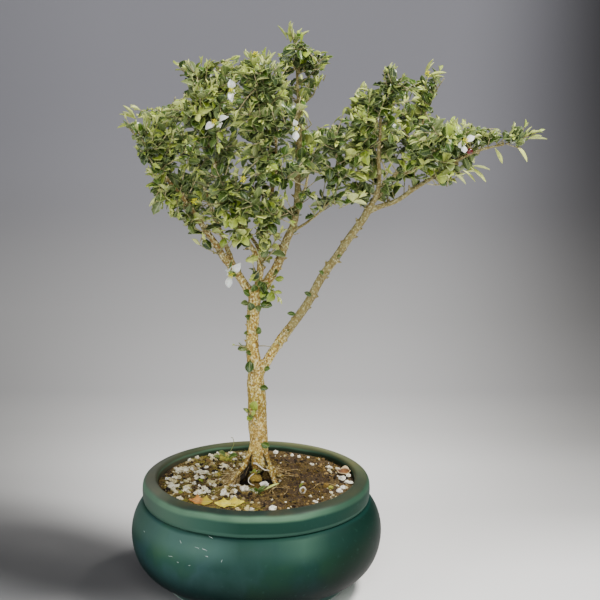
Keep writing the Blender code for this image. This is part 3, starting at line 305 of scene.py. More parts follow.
class Finish:
    """A Principled material, with the nodes that drive it added one by one."""

    def __init__(self, name, roughness, **fixed):
        self.material = bpy.data.materials.new(name)
        self.material.use_nodes = True
        self.nodes = self.material.node_tree.nodes
        self.links = self.material.node_tree.links
        self.surface = self.nodes["Principled BSDF"]
        for socket, value in {"Roughness": roughness, **fixed}.items():
            self.surface.inputs[socket.replace("_", " ")].default_value = value

    def node(self, kind, inputs, **settings):
        """A new node, with each of its inputs linked or set."""
        made = self.nodes.new(kind)
        for key, value in settings.items():
            setattr(made, key, value)
        for key, value in inputs.items():
            if isinstance(value, bpy.types.NodeSocket):
                self.links.new(value, made.inputs[key])
            else:
                made.inputs[key].default_value = value
        return made

    def place(self, stretch=(1, 1, 1)):
        """Object coordinates, stretched."""
        coordinates = self.node("ShaderNodeTexCoord", {}).outputs["Object"]
        return self.node("ShaderNodeMapping", {"Vector": coordinates, "Scale": stretch}).outputs[0]

    def axes(self, vector=None):
        """The three parts of a vector, or of the object coordinates."""
        return tuple(self.node("ShaderNodeSeparateXYZ", {0: vector or self.place()}).outputs)

    def blade(self):
        """How far across and how far along a leaf or a petal, from 0 to 1."""
        return self.axes(self.node("ShaderNodeUVMap", {}, uv_map="blade").outputs[0])[:2]

    def own(self, name):
        """A value that the mesh carries at each of its points."""
        return self.node("ShaderNodeAttribute", {}, attribute_name=name).outputs["Fac"]

    def length(self, vector):
        """The length of a vector."""
        return self.node("ShaderNodeVectorMath", {0: vector}, operation="LENGTH").outputs["Value"]

    def noise(self, scale, detail=3.0, stretch=(1, 1, 1), roughness=0.5):
        """Clouds of this many to the metre."""
        inputs = {"Vector": self.place(stretch), "Scale": scale, "Detail": detail, "Roughness": roughness}
        return self.node("ShaderNodeTexNoise", inputs).outputs["Fac"]

    def maths(self, operation, first, second=0.5):
        """One operation on one value or two."""
        return self.node("ShaderNodeMath", {0: first, 1: second}, operation=operation).outputs[0]

    def times(self, first, *others):
        """The product of values."""
        for other in others:
            first = self.maths("MULTIPLY", first, other)
        return first

    def plus(self, first, *others):
        """The sum of values."""
        for other in others:
            first = self.maths("ADD", first, other)
        return first

    def step(self, value, low, high, kind="SMOOTHSTEP"):
        """0 at low, 1 at high, and smooth between."""
        inputs = {"Value": value, "From Min": low, "From Max": high}
        return self.node("ShaderNodeMapRange", inputs, interpolation_type=kind).outputs["Result"]

    def ramp(self, value, *stops):
        """Colours by value. Each stop is a place and a colour, or a place and a grey."""
        made = self.node("ShaderNodeValToRGB", {"Fac": value})
        elements = made.color_ramp.elements
        while len(elements) < len(stops):
            elements.new(0.5)
        for element, (place, *colour) in zip(elements, stops):
            element.position = place
            element.color = (*colour, 1) if len(colour) == 3 else (*colour * 3, 1)
        return made.outputs["Color"]

    def mix(self, share, first, second, blend="MIX"):
        """Two colours mixed. A colour can be another node's, or a red, a green and a blue."""
        made = self.node("ShaderNodeMix", {}, data_type="RGBA", blend_type=blend)
        for index, value in ((0, share), (6, first), (7, second)):
            if isinstance(value, bpy.types.NodeSocket):
                self.links.new(value, made.inputs[index])
            else:
                made.inputs[index].default_value = value if index == 0 else (*value, 1)
        return made.outputs[2]

    def coats(self, tone, *coats):
        """The tone with colours laid over it in turn, each as thick as the product of its shares."""
        for colour, *shares in coats:
            tone = self.mix(self.times(*shares), tone, colour)
        return tone

    def done(self, tone, height=None, depth=0.0, strength=1.0):
        """The material, in this tone, and with relief where a height is given."""
        self.links.new(tone, self.surface.inputs["Base Color"])
        if height:
            bump = self.node("ShaderNodeBump", {"Height": height, "Distance": depth, "Strength": strength})
            self.links.new(bump.outputs["Normal"], self.surface.inputs["Normal"])
        return self.material


def glaze_finish():
    """Teal glaze: slate-blue and green clouds, thin and olive on the rim, with painted shade that makes it
    darkest low down, on the right and inside the rim, and painted highlights on the shoulder and the rim's
    edge.
    """
    glaze = Finish("teal_glaze", 0.4, Specular_IOR_Level=0.06)
    step, times, ramp, mix, coats = glaze.step, glaze.times, glaze.ramp, glaze.mix, glaze.coats
    across, back, height = glaze.axes()
    plane = glaze.length(glaze.place((1, 1, 0)))
    level = glaze.plus(height, times(glaze.noise(26, 2, (1, 1, 0.4)), 0.0024), -0.0012)
    aside = step(across, -0.09, 0.09, "LINEAR")
    clouds = ramp(
        glaze.noise(19, 4, (1, 1, 0.8), 0.55),
        (0.36, 0.024, 0.082, 0.076), (0.46, 0.036, 0.104, 0.108),
        (0.53, 0.028, 0.096, 0.078), (0.62, 0.040, 0.116, 0.072),
    )
    # Painted light and shade across the pot: brightest left of the middle, darkest on the right
    light = ramp(
        aside, (0.0, 0.66, 0.58, 0.55), (0.08, 0.78, 0.72, 0.70), (0.15, 1.0, 0.93, 0.85),
        (0.28, 0.90, 0.78, 0.74), (0.5, 0.48, 0.52, 0.42), (0.72, 0.28, 0.40, 0.36),
        (0.84, 0.10, 0.19, 0.17), (0.92, 0.04, 0.13, 0.11), (1.0, 0.02, 0.09, 0.07),
    )
    # Painted shade: low down the glaze goes near black
    low = mix(1.0, (0.0, 0.009, 0.0095), light, "MULTIPLY")
    belly = mix(step(level, 0.013, 0.047), low, mix(1.0, clouds, light, "MULTIPLY"))
    # Painted highlights on the shoulder in two places, with painted shade between them and towards the right
    painted_sheen = ramp(
        aside, (0.0, 0.75, 0.7, 0.65), (0.10, 0.8, 0.75, 0.72), (0.18, 1.0, 0.95, 0.95),
        (0.28, 1.0, 0.95, 0.95), (0.36, 0.72, 0.74, 0.74), (0.45, 0.24, 0.33, 0.30),
        (0.58, 0.27, 0.36, 0.36), (0.69, 0.60, 0.62, 0.54), (0.79, 0.16, 0.24, 0.22),
        (0.88, 0.08, 0.15, 0.13), (1.0, 0.05, 0.11, 0.09),
    )
    shoulder = mix(1.0, (0.085, 0.185, 0.155), painted_sheen, "MULTIPLY")
    # Painted shade in the groove under the rim, weaker on the left
    groove = glaze.plus(times(step(across, -0.055, -0.01), 0.45), 0.2)
    # The band's thin glaze, its tone carrying painted light on the left and painted shade on the right
    thin = ramp(
        aside, (0.0, 0.125, 0.17, 0.135), (0.16, 0.080, 0.150, 0.105), (0.30, 0.040, 0.102, 0.076),
        (0.45, 0.014, 0.054, 0.036), (0.75, 0.010, 0.046, 0.034), (0.90, 0.006, 0.036, 0.022),
        (1.0, 0.016, 0.046, 0.034),
    )
    # A painted highlight along the rim's rounded outer edge, broken into streaks and dimmer on the right
    highlight_streaks = step(glaze.noise(38, 2, (1, 1, 0.1)), -0.1, 0.7)
    lip = times(highlight_streaks, glaze.plus(times(step(across, 0.018, 0.068), -0.6), 0.8))
    # The rim's top: olive tones of wear, greyer at the far left, with painted light on its far right and
    # along its back edge
    wear = glaze.noise(55, 4)
    front = step(back, -0.035, -0.068)
    top_wear_and_light = coats(
        ramp(wear, (0.38, 0.070, 0.090, 0.052), (0.52, 0.095, 0.110, 0.058), (0.66, 0.125, 0.122, 0.055)),
        ((0.17, 0.18, 0.15), step(across, -0.045, -0.075), 0.6),
        ((0.20, 0.21, 0.105), step(back, 0.02, 0.055), step(across, -0.01, 0.02), 0.55),
        ((0.30, 0.285, 0.17), step(back, 0.055, 0.075), step(plane, 0.0745, 0.0775), 0.6),
    )
    # The front of the rim's top is darker, and darkest on the front right: painted shade
    near = ramp(wear, (0.38, 0.020, 0.034, 0.028), (0.52, 0.028, 0.042, 0.032), (0.66, 0.046, 0.048, 0.030))
    # The inner lip's edge: its own brown on the left, and a painted highlight on the right
    brown_edge_and_highlight = mix(step(across, 0.0, 0.06), (0.070, 0.042, 0.018), (0.13, 0.15, 0.085))
    top = coats(
        mix(front, top_wear_and_light, near),
        ((0.036, 0.046, 0.031), step(back, 0.025, -0.02), step(across, 0.015, 0.05), 0.85),
        (mix(front, (0.060, 0.072, 0.034), brown_edge_and_highlight), step(plane, 0.0735, 0.0712), 0.55),
    )
    # Painted shade on the inner wall above the soil, with painted light at its far left
    inner_wall_shade = mix(step(across, -0.035, -0.062), (0.014, 0.019, 0.010), (0.085, 0.074, 0.045))
    # The foot ring: dark teal, with a pale band at its top edge, its unglazed clay brightened by a painted
    # highlight, and pale where it stands
    foot = mix(step(level, 0.0050, 0.0062), (0.045, 0.10, 0.088), (0.42, 0.56, 0.46))
    foot = coats(foot, ((0.36, 0.46, 0.40), step(level, 0.0022, 0.0012)))
    tone = coats(
        belly,
        (shoulder, step(level, 0.042, 0.055), step(level, 0.0635, 0.061), 0.75),
        ((0.008, 0.042, 0.034), step(level, 0.0610, 0.0628), step(level, 0.0655, 0.0640), groove),
        (thin, step(level, 0.0628, 0.0648), step(level, 0.0800, 0.0777), 0.9),
        ((0.060, 0.135, 0.100), step(level, 0.0634, 0.0644), step(level, 0.0672, 0.0658), 0.55),
        ((0.14, 0.265, 0.165), step(level, 0.0738, 0.0763), step(level, 0.0806, 0.0782), lip),
        (top, step(level, 0.0778, 0.0799)),
        (inner_wall_shade, step(plane, 0.0722, 0.0712), step(level, 0.0790, 0.0766), 0.9),
        (foot, step(level, 0.0092, 0.0076), 0.8),
        ((0.04, 0.11, 0.09), step(glaze.noise(300, 2), 0.62, 0.74), 0.12),
    )
    rough = glaze.node("ShaderNodeMapRange", {"Value": glaze.noise(45, 3), "To Min": 0.36, "To Max": 0.54})
    glaze.links.new(rough.outputs["Result"], glaze.surface.inputs["Roughness"])
    return glaze.done(tone, glaze.noise(90, 2), 0.0004, 0.25)


def bark_finish():
    """Golden bark, speckled with cream and ginger, and pale olive on the thinner wood, with painted shade,
    near black, in the hollow under the flare and its clefts.
    """
    bark = Finish("pale_bark", 0.8)
    step, times = bark.step, bark.times
    across, _, height = bark.axes()
    cells = bark.node("ShaderNodeTexVoronoi", {"Vector": bark.place((1, 1, 0.8)), "Scale": 640})
    grain = bark.plus(
        times(bark.noise(980, 5, (1, 1, 0.8), 0.72), 0.56),
        times(step(cells.outputs["Distance"], 0.52, 0.16), 0.12),
        times(bark.noise(240, 4, (1, 1, 0.55), 0.6), 0.32),
    )
    flecks = bark.noise(600, 2, roughness=0.65)
    wood = bark.ramp(
        grain, (0.36, 0.15, 0.075, 0.010), (0.42, 0.42, 0.26, 0.035), (0.48, 0.68, 0.50, 0.085),
        (0.57, 0.90, 0.79, 0.26),
    )
    thin = bark.mix(step(grain, 0.38, 0.55), (0.10, 0.080, 0.026), (0.41, 0.375, 0.17))
    wood = bark.coats(
        wood,
        ((0.46, 0.25, 0.035), step(bark.noise(95, 3), 0.50, 0.62), 0.35),
        ((0.44, 0.42, 0.09), step(bark.noise(130, 3, (1, 1, 0.5)), 0.54, 0.66), 0.35),
        ((0.50, 0.45, 0.17), step(height, 0.135, 0.17), step(bark.noise(260, 4), 0.50, 0.62), 0.7),
        ((1.0, 0.70, 0.20), step(height, 0.096, 0.104), step(height, 0.128, 0.116), 0.5),
        ((0.40, 0.33, 0.035), step(height, 0.122, 0.130), step(height, 0.150, 0.140), 0.38),
        (thin, bark.own("thin"), 0.85),
        ((0.17, 0.125, 0.028), step(height, 0.092, 0.080), step(bark.noise(200, 4), 0.42, 0.6), 0.7),
        ((0.27, 0.135, 0.022), step(flecks, 0.49, 0.42), 0.72),
        ((1.0, 0.90, 0.54), step(flecks, 0.55, 0.61), 0.72),
        ((0.22, 0.20, 0.075), step(height, 0.15, 0.17), step(across, 0.014, 0.028), 0.55),
        ((0.10, 0.055, 0.010), step(bark.own("hollow"), 0.25, 0.95), 0.5),
        # Painted shade: the bark near black in the hollow under the flare and in its clefts
        ((0.012, 0.007, 0.003), bark.own("painted_flare_shade"), 0.985),
    )
    return bark.done(wood, bark.plus(grain, flecks), 0.0007, 0.9)


def leaf_finish(name, roughness, dark, middle, light, young):
    """A leaf face: its tone by age, with a pale midrib, side veins and rim."""
    leaf = Finish(name, roughness, Coat_Weight=0.2, Coat_Roughness=0.3)
    dull = tuple(0.5 * part + 0.5 * grey for part, grey in zip(middle, (0.24, 0.24, 0.13)))
    tone = leaf.ramp(
        leaf.own("age"), (0.0, *dark), (0.28, *middle), (0.42, *dull), (0.55, *light), (1.0, *young)
    )
    tone = leaf.coats(tone, (middle, leaf.step(leaf.noise(420, 2), 0.4, 0.7), 0.3))
    across, along = leaf.blade()
    aside = leaf.maths("ABSOLUTE", leaf.plus(across, -0.5))
    waves = leaf.maths("SINE", leaf.times(leaf.plus(along, leaf.times(aside, -0.7)), 38.0))
    veins = leaf.maths("MAXIMUM", leaf.step(aside, 0.09, 0.03), leaf.times(leaf.step(waves, 0.6, 1.0), 0.4))
    lines = leaf.maths("MAXIMUM", veins, leaf.step(aside, 0.41, 0.47))
    tone = leaf.coats(tone, (leaf.mix(0.5, tone, (0.55, 0.66, 0.22)), lines, 0.6))
    return leaf.done(tone, veins, 0.0002, 0.5)


def twig_finish():
    """Brown twigs, and greener ones where they are young."""
    twig = Finish("green_twig", 0.7)
    bark = twig.ramp(
        twig.noise(500, 3), (0.35, 0.16, 0.13, 0.05), (0.5, 0.36, 0.31, 0.15), (0.65, 0.55, 0.47, 0.27)
    )
    tone = twig.coats(bark, ((0.28, 0.34, 0.10), twig.own("age")))
    return twig.done(tone, twig.noise(1200, 2), 0.0002, 0.5)


def petal_finish():
    """White petals, a little green at the claw, with faint creases along them."""
    petal = Finish("white_petal", 0.55, Subsurface_Weight=0.12, Subsurface_Scale=0.002)
    across, along = petal.blade()
    white = petal.ramp(petal.noise(300, 3), (0.35, 0.80, 0.81, 0.76), (0.65, 0.93, 0.93, 0.90))
    tone = petal.coats(white, ((0.60, 0.68, 0.36), petal.step(along, 0.42, 0.15), 0.7))
    return petal.done(tone, petal.maths("SINE", petal.times(across, 60.0)), 0.00012, 0.4)


def soil_finish():
    """Dark compost under a skin of golden and olive moss, with painted shade in the pit under the trunk."""
    soil = Finish("compost", 0.95)
    crumb = soil.ramp(
        soil.noise(700, 5, roughness=0.65), (0.36, 0.010, 0.006, 0.003), (0.48, 0.045, 0.025, 0.010),
        (0.57, 0.15, 0.090, 0.028), (0.68, 0.40, 0.28, 0.11),
    )
    fibre = soil.ramp(
        soil.noise(1500, 4, roughness=0.7), (0.36, 0.03, 0.018, 0.004), (0.47, 0.15, 0.09, 0.016),
        (0.57, 0.36, 0.25, 0.05), (0.70, 0.60, 0.50, 0.15),
    )
    tone = soil.coats(
        crumb, (fibre, soil.step(soil.noise(75, 4), 0.45, 0.56), 0.8),
        ((0.046, 0.025, 0.010), soil.step(soil.axes()[0], -0.01, 0.03), 0.7),
        # Near black where the hollow value is high: painted shade in the pit under the trunk, and dark crumb
        ((0.004, 0.003, 0.002), soil.step(soil.own("hollow"), 0.15, 0.8), 0.9),
    )
    return soil.done(tone, soil.noise(1300, 4), 0.0008, 0.9)


def speckled_finish(name, roughness, scale, *stops, detail=3, relief=0.0003, **fixed):
    """A plain stuff with its tones in specks."""
    stuff = Finish(name, roughness, **fixed)
    specks = stuff.noise(scale, detail)
    return stuff.done(stuff.ramp(specks, *stops), specks if relief else None, relief, 0.8)


def toned_finish(
    name, roughness, *stops, pores=(900, 0.4, 0.6), dark=(0.02, 0.012, 0.006), depth=0.45, relief=0.8
):
    """Small bits of many tones: each bit carries its own tone, and is darker in its pores."""
    stuff = Finish(name, roughness)
    tone = stuff.ramp(stuff.own("age"), *stops)
    scale, low, high = pores
    tone = stuff.mix(stuff.step(stuff.noise(scale, 3), low, high), stuff.mix(depth, tone, dark), tone)
    return stuff.done(tone, stuff.noise(1500, 3), 0.0004, relief)


# Meshes

def new_bmesh():
    """A bmesh with the map and the values that leaves and small bits carry."""
    bm = bmesh.new()
    bm.loops.layers.uv.new("blade")
    bm.verts.layers.float.new("age")
    return bm


def put(name, data):
    """A new object in the scene."""
    item = bpy.data.objects.new(name, data)
    bpy.context.scene.collection.objects.link(item)
    return item


def as_mesh(name, bm):
    """The bmesh as a mesh. The bmesh is used up."""
    mesh = bpy.data.meshes.new(name)
    bm.to_mesh(mesh)
    bm.free()
    return mesh


def evaluated(item):
    """The mesh of a curve or an object with its modifiers."""
    graph = bpy.context.evaluated_depsgraph_get()
    return bpy.data.meshes.new_from_object(item.evaluated_get(graph))


def show(name, bm, materials, replaces=()):
    """Makes a piece of the object from a bmesh: it rides with the tree and stands for its solids."""
    mesh = as_mesh(name, bm)
    for material in materials:
        mesh.materials.append(material)
    mesh.shade_smooth()
    piece = put(name, mesh)
    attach(piece, "root")
    if replaces:
        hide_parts(*replaces)
    return piece


def smooth_line(knots, per_span):
    """Points of a Catmull-Rom curve through the knots, with per_span of them to each stretch."""
    ends = [2 * knots[0] - knots[1], *knots, 2 * knots[-1] - knots[-2]]
    line = []
    for a, b, c, d in zip(ends, ends[1:], ends[2:], ends[3:]):
        for index in range(per_span):
            t = index / per_span
            line.append(
                (2 * b + (c - a) * t + (2 * a - 5 * b + 4 * c - d) * t ** 2
                 + (3 * b - a - 3 * c + d) * t ** 3) / 2
            )
    return [*line, knots[-1].copy()]


def swept(lines, sides):
    """A mesh of round bars along lines of (points, radii), made from a curve with a bevel."""
    curve = bpy.data.curves.new("bars", "CURVE")
    curve.dimensions = "3D"
    curve.bevel_depth = 1
    curve.bevel_resolution = sides // 2 - 2
    curve.use_fill_caps = True
    for points, radii in lines:
        spline = curve.splines.new("POLY")
        spline.points.add(len(points) - 1)
        for knot, place, radius in zip(spline.points, points, radii):
            knot.co = (*place, 1)
            knot.radius = radius
    guide = put("bars", curve)
    mesh = evaluated(guide)
    bpy.data.objects.remove(guide)
    bpy.data.curves.remove(curve)
    return mesh


def tapered(points, thick, thin):
    """The points with their radii, from thick to thin."""
    last = len(points) - 1
    return points, [thick + (thin - thick) * index / last for index in range(len(points))]


def add_bars(bm, lines, material=0, age=0.0):
    """Adds round bars to a bmesh, six-sided and closed at both ends."""
    if not lines:
        return
    mesh = swept(lines, BAR_SIDES)
    part = bmesh.new()
    part.from_mesh(mesh)
    bmesh.ops.remove_doubles(part, verts=part.verts, dist=1e-7)
    bmesh.ops.recalc_face_normals(part, faces=part.faces)
    for face in part.faces:
        face.material_index = material
    tone = part.verts.layers.float.new("age")
    for vert in part.verts:
        vert[tone] = age
    part.to_mesh(mesh)
    part.free()
    bm.from_mesh(mesh)
    bpy.data.meshes.remove(mesh)


def add_copy(bm, shape, matrix, age):
    """Adds a moved copy of a small mesh to a bmesh, with its own tone."""
    copy = shape.copy()
    copy.transform(matrix)
    copy.attributes["age"].data.foreach_set("value", [age] * len(copy.vertices))
    bm.from_mesh(copy)
    bpy.data.meshes.remove(copy)


def kept_shape(bm, name):
    """The bmesh as a mesh that add_copy can use."""
    for face in bm.faces:
        face.smooth = True
    return as_mesh(name, bm)


def sheet(columns, rows, shape, thickness, merged=0.0):
    """A thin closed shell. shape(side, along) gives each of its points, for side -1 to 1 and along 0 to 1."""
    bm = new_bmesh()
    bmesh.ops.create_grid(bm, x_segments=columns, y_segments=rows, size=0.5)
    flat = bm.loops.layers.uv["blade"]
    for face in bm.faces:
        for loop in face.loops:
            loop[flat].uv = (loop.vert.co.x + 0.5, loop.vert.co.y + 0.5)
    for vert in bm.verts:
        vert.co = shape(vert.co.x * 2, vert.co.y + 0.5)
    if merged:
        bmesh.ops.remove_doubles(bm, verts=bm.verts, dist=merged)
    bmesh.ops.solidify(bm, geom=bm.faces[:], thickness=thickness)
    bmesh.ops.recalc_face_normals(bm, faces=bm.faces)
    return bm


def turned_to(place, facing):
    """A matrix that stands a shape's Z along facing, at place."""
    turn = facing.to_track_quat("Z", "Y").to_matrix().to_4x4()
    return Matrix.Translation(place) @ turn


def turned(profile, sides):
    """A bmesh of the profile's (radius, height) points turned round Z. It starts and ends on the axis."""
    bm = bmesh.new()
    verts = [bm.verts.new((radius, 0, height)) for radius, height in profile]
    edges = [bm.edges.new(pair) for pair in zip(verts, verts[1:])]
    bmesh.ops.spin(
        bm, geom=verts + edges, axis=UP, cent=(0, 0, 0), angle=tau, steps=sides, use_merge=True
    )
    bmesh.ops.remove_doubles(bm, verts=bm.verts, dist=1e-6)
    bmesh.ops.recalc_face_normals(bm, faces=bm.faces)
    return bm


# The pot

def pot_inside(inset=0.0):
    """The (radius, height) points of the pot's inner face, from the floor's middle to the lip."""
    return [
        (0, FLOOR_HEIGHT + inset),
        (66 * MM - inset, FLOOR_HEIGHT + 1.5 * MM + inset),
        (78.5 * MM - inset, 24 * MM + inset * 0.5),
        (83.2 * MM - inset, 40 * MM),
        (80 * MM - inset, 54 * MM),
        (MOUTH_RADIUS - inset, 66 * MM),
    ]


def pot_outline():
    """The outside of the pot, from the middle of its foot to its inner lip."""
    foot = [
        (0, 0), (FOOT_RADIUS - 2 * MM, 0), (FOOT_RADIUS - 0.6 * MM, 0.5 * MM), (FOOT_RADIUS, 1.6 * MM),
        (FOOT_RADIUS, FOOT_HEIGHT - 0.8 * MM), (FOOT_RADIUS + 0.4 * MM, FOOT_HEIGHT),
    ]
    belly = []
    for angle in [*range(-90, 0, 6), *range(0, BELLY_TOP_ANGLE, 6), BELLY_TOP_ANGLE]:
        turn = radians(angle)
        height = BELLY_DROP if angle < 0 else BELLY_RISE
        belly.append((BELLY_CORE + BELLY_SWELL * cos(turn), BELLY_HEIGHT + height * sin(turn)))
    knots = [Vector((RIM_RADIUS + out * MM, POT_HEIGHT + up * MM)) for out, up in BAND]
    knots += [Vector((MOUTH_RADIUS + out * MM, POT_HEIGHT + up * MM)) for out, up in LIP]
    return foot + belly + [tuple(point) for point in smooth_line(knots, 4)]


def glazed_pot(glaze):
    """The pot's one fired piece, with its drainage holes."""
    pot = show("glazed_pot", turned(pot_outline() + pot_inside()[::-1], POT_SIDES), [glaze], ["pot"])
    drains = bmesh.new()
    for index in range(DRAIN_COUNT):
        turn = Matrix.Rotation(tau * index / DRAIN_COUNT, 4, "Z")
        bmesh.ops.create_cone(
            drains, cap_ends=True, segments=32, radius1=DRAIN_RADIUS, radius2=DRAIN_RADIUS,
            depth=4 * FLOOR_HEIGHT, matrix=turn @ Matrix.Translation((DRAIN_CIRCLE, 0, 0)),
        )
    cutter = put("drains", as_mesh("drains", drains))
    cut = pot.modifiers.new("Drains", "BOOLEAN")
    cut.operation = "DIFFERENCE"
    cut.solver = "MANIFOLD"
    cut.object = cutter
    result = evaluated(pot)
    pot.modifiers.remove(cut)
    pot.data = result
    bpy.data.objects.remove(cutter)
    result.shade_smooth()
    result.set_sharp_from_angle(angle=radians(35))


# Pale scratches in the glaze: the middle (x, z), length (mm) and slope of each
SCRATCHES = (
    (-29.2, 62.9, 3.2, -0.35), (-50.3, 57.1, 1.0, -1.7), (-38.6, 55.8, 3.0, -0.2), (-33.4, 55.5, 3.6, -0.3),
    (-57.6, 46.0, 3.0, 0.15), (-52.2, 43.5, 1.3, -0.3), (-21.5, 49.8, 0.9, 2.4), (-43.9, 43.3, 1.6, 0.1),
    (-31.8, 51.5, 2.2, -0.1), (-77.5, 53.1, 1.0, -0.3),
)


def glaze_scratches(finish):
    """Fine pale scratches on the front left of the belly."""
    bm = new_bmesh()
    lines = []
    for x, z, length, slope in SCRATCHES:
        points = []
        for share in (-0.5, -0.2, 0.15, 0.5):
            px = x + length * share
            pz = z + length * share * slope + 0.15 * sin(9 * share)
            rise = BELLY_RISE if pz * MM > BELLY_HEIGHT else BELLY_DROP
            lean = min(0.98, abs(pz * MM - BELLY_HEIGHT) / rise)
            radius = BELLY_CORE + BELLY_SWELL * sqrt(1 - lean ** 2)
            points.append(Vector((px * MM, -sqrt(radius ** 2 - (px * MM) ** 2), pz * MM)))
        lines.append((points, [0.03 * MM, 0.12 * MM, 0.13 * MM, 0.03 * MM]))
    add_bars(bm, lines)
    show("glaze_scratches", bm, [finish])


# The soil and what lies on it

def soil_height(x, y):
    """Height of the soil's surface: the solids' mound and lumps, a washed-out pit, and fine crumb."""
    reach = hypot(x, y) / MOUTH_RADIUS
    mound = SOIL_MOUND * max(0.0, 1 - reach ** 1.6)
    place = Vector((x, y, 0)) * LUMPS_PER_METRE
    lumps = noise.noise(place) + 0.5 * noise.noise(place * 2.3)
    fade = min(1.0, 6 * max(0.0, 0.97 - reach))
    crumb = noise.noise(place * 4.2) * 0.9 + noise.noise(place * 9.5) * 0.55
    pit = exp(-((hypot(x - 1 * MM, y + 3 * MM) / PIT_REACH) ** 6)) * PIT_DEPTH
    return SOIL_EDGE + mound + (SOIL_LUMP * lumps + crumb * MM) * fade - pit


def compost(finish):
    """The fill of the pot, down to its floor, with a crumbly top."""
    side = pot_inside(WALL_GAP) + [(MOUTH_RADIUS - WALL_GAP, SOIL_EDGE)]
    shares = [1 - (index / SOIL_RINGS) for index in range(1, SOIL_RINGS)]
    top = [(MOUTH_RADIUS * share, SOIL_EDGE + 1 * MM) for share in shares]
    bm = turned(side + top + [(0, SOIL_EDGE + 1 * MM)], SOIL_SIDES)
    hollow = bm.verts.layers.float.new("hollow")
    for vert in bm.verts:
        if vert.co.z > SOIL_EDGE + 0.5 * MM:
            vert.co.z = soil_height(vert.co.x, vert.co.y)
            crumb = noise.noise(Vector((vert.co.x, vert.co.y, 3)) * LUMPS_PER_METRE * 6)
            # The hollow value: painted shade that deepens down the pit, plus dark patches of crumb
            vert[hollow] = max(0.0, SOIL_EDGE + 0.5 * MM - vert.co.z) / (3 * MM) + max(0.0, crumb - 0.3)
    show("compost", bm, [finish], ["soil"])


def grain_shapes(count, roughness, seed, fineness=2):
    """Small broken stones, all unlike, made from a ball."""
    rng = random.Random(seed)
    shapes = []
    for index in range(count):
        bm = new_bmesh()
        bmesh.ops.create_icosphere(bm, subdivisions=fineness, radius=0.5)
        shift = Vector((rng.uniform(0, 90), index * 7.0, 0))
        for vert in bm.verts:
            vert.co *= 1 + roughness * (noise.noise(vert.co * 2.4 + shift) + rng.uniform(-0.32, 0.32))
        squash = (rng.uniform(0.8, 1.1), rng.uniform(0.7, 1.0), rng.uniform(0.55, 0.85))
        bmesh.ops.scale(bm, vec=squash, verts=bm.verts)
        shapes.append(kept_shape(bm, f"grain_{index}"))
    return shapes


LEAF_PLACES = ((-17.3, -49.5), (-37.5, -43.5))  # mm


def on_soil(rng, where, count):
    """Random places on the soil, more of them where the given share is high."""
    places = []
    while len(places) < count:
        x = rng.uniform(-1, 1) * MOUTH_RADIUS
        y = rng.uniform(-1, 1) * MOUTH_RADIUS
        reach = hypot(x, y)
        if BARE_RING < reach < MOUTH_RADIUS - 2 * MM and rng.random() < where(x, y):
            places.append((x, y))
    return places


def by_leaf(x, y):
    """True where a fallen leaf lies on the soil."""
    return any(hypot((x - px * MM) / (14 * MM), (y - py * MM) / (7 * MM)) < 1 for px, py in LEAF_PLACES)


def perlite_share(x, y):
    """Perlite lies mostly on the left half, in patches, and along the right edge."""
    patch = 1.0 if noise.noise(Vector((x, y, 9)) * 70) > -0.05 else 0.3
    left = patch if x < -4 * MM else 0.05
    edge = 0.4 if x > 42 * MM and hypot(x, y) > 56 * MM else 0.0
    return 0.0 if by_leaf(x, y) else max(left, edge)


# The bigger grains of perlite: x, y and size in mm, and how far some of them are raised
BIG_GRAINS = (
    (-7.4, -26, 7.2, 0.6), (6.6, -18.5, 5.8, 3.8), (-56.5, 19.5, 6.0), (-52, 18, 5.6), (-54, 24, 4.6),
    (-41, 12.7, 6.2), (-38.2, 14.5, 4.6), (-57.3, 5.5, 4.2), (-58.9, -13.4, 6.4), (-58, -19.4, 4.6),
    (-49.3, -17, 5.4), (-50, -22, 4.4), (-36, -20, 4.8), (-39.9, -29.4, 4.6), (-32.6, -27, 3.4),
    (-22, -29.5, 5.8), (-19.6, -32.5, 4.0), (-13.6, -27.7, 3.6), (-52.4, -36.6, 4.6), (-50.3, 45.2, 3.6),
    (-45, 51.6, 4.2), (-34.4, 53.8, 4.6), (-27.2, 60.1, 2.6), (-12.8, 58.7, 2.6), (-1.9, -58, 4.0),
    (12.2, -58.5, 6.4), (61.6, 2.2, 5.6), (66.4, 11, 4.2), (66.4, -3, 4.4), (61.6, -14.2, 4.4),
    (59.3, -20.7, 4.6), (33.3, -8.9, 2.4), (52.6, 26, 4.2), (13.2, 60.9, 3.6), (25.6, 55.5, 2.8),
    (30.7, 53.5, 2.6), (37.4, 50.7, 2.2), (17.1, -1.6, 2.4), (42, -44, 2.6), (-33, 34, 3.4), (-62, -4, 3.2),
    (-44, 34, 3.0), (-29, -14, 3.2), (-43, 1, 3.0), (-24, 30, 2.8),
)


def add_grain(bm, rng, shapes, x, y, size, sink, tone):
    """Adds a grain to a bmesh, turned at random and partly sunk in the soil."""
    turn = Matrix.Rotation(rng.uniform(0, tau), 4, "Z")
    tilt = Matrix.Rotation(rng.uniform(-0.6, 0.6), 4, "X")
    place = Vector((x, y, soil_height(x, y) + size * (0.35 - sink)))
    add_copy(bm, rng.choice(shapes), Matrix.Translation(place) @ turn @ tilt @ Matrix.Scale(size, 4), tone)


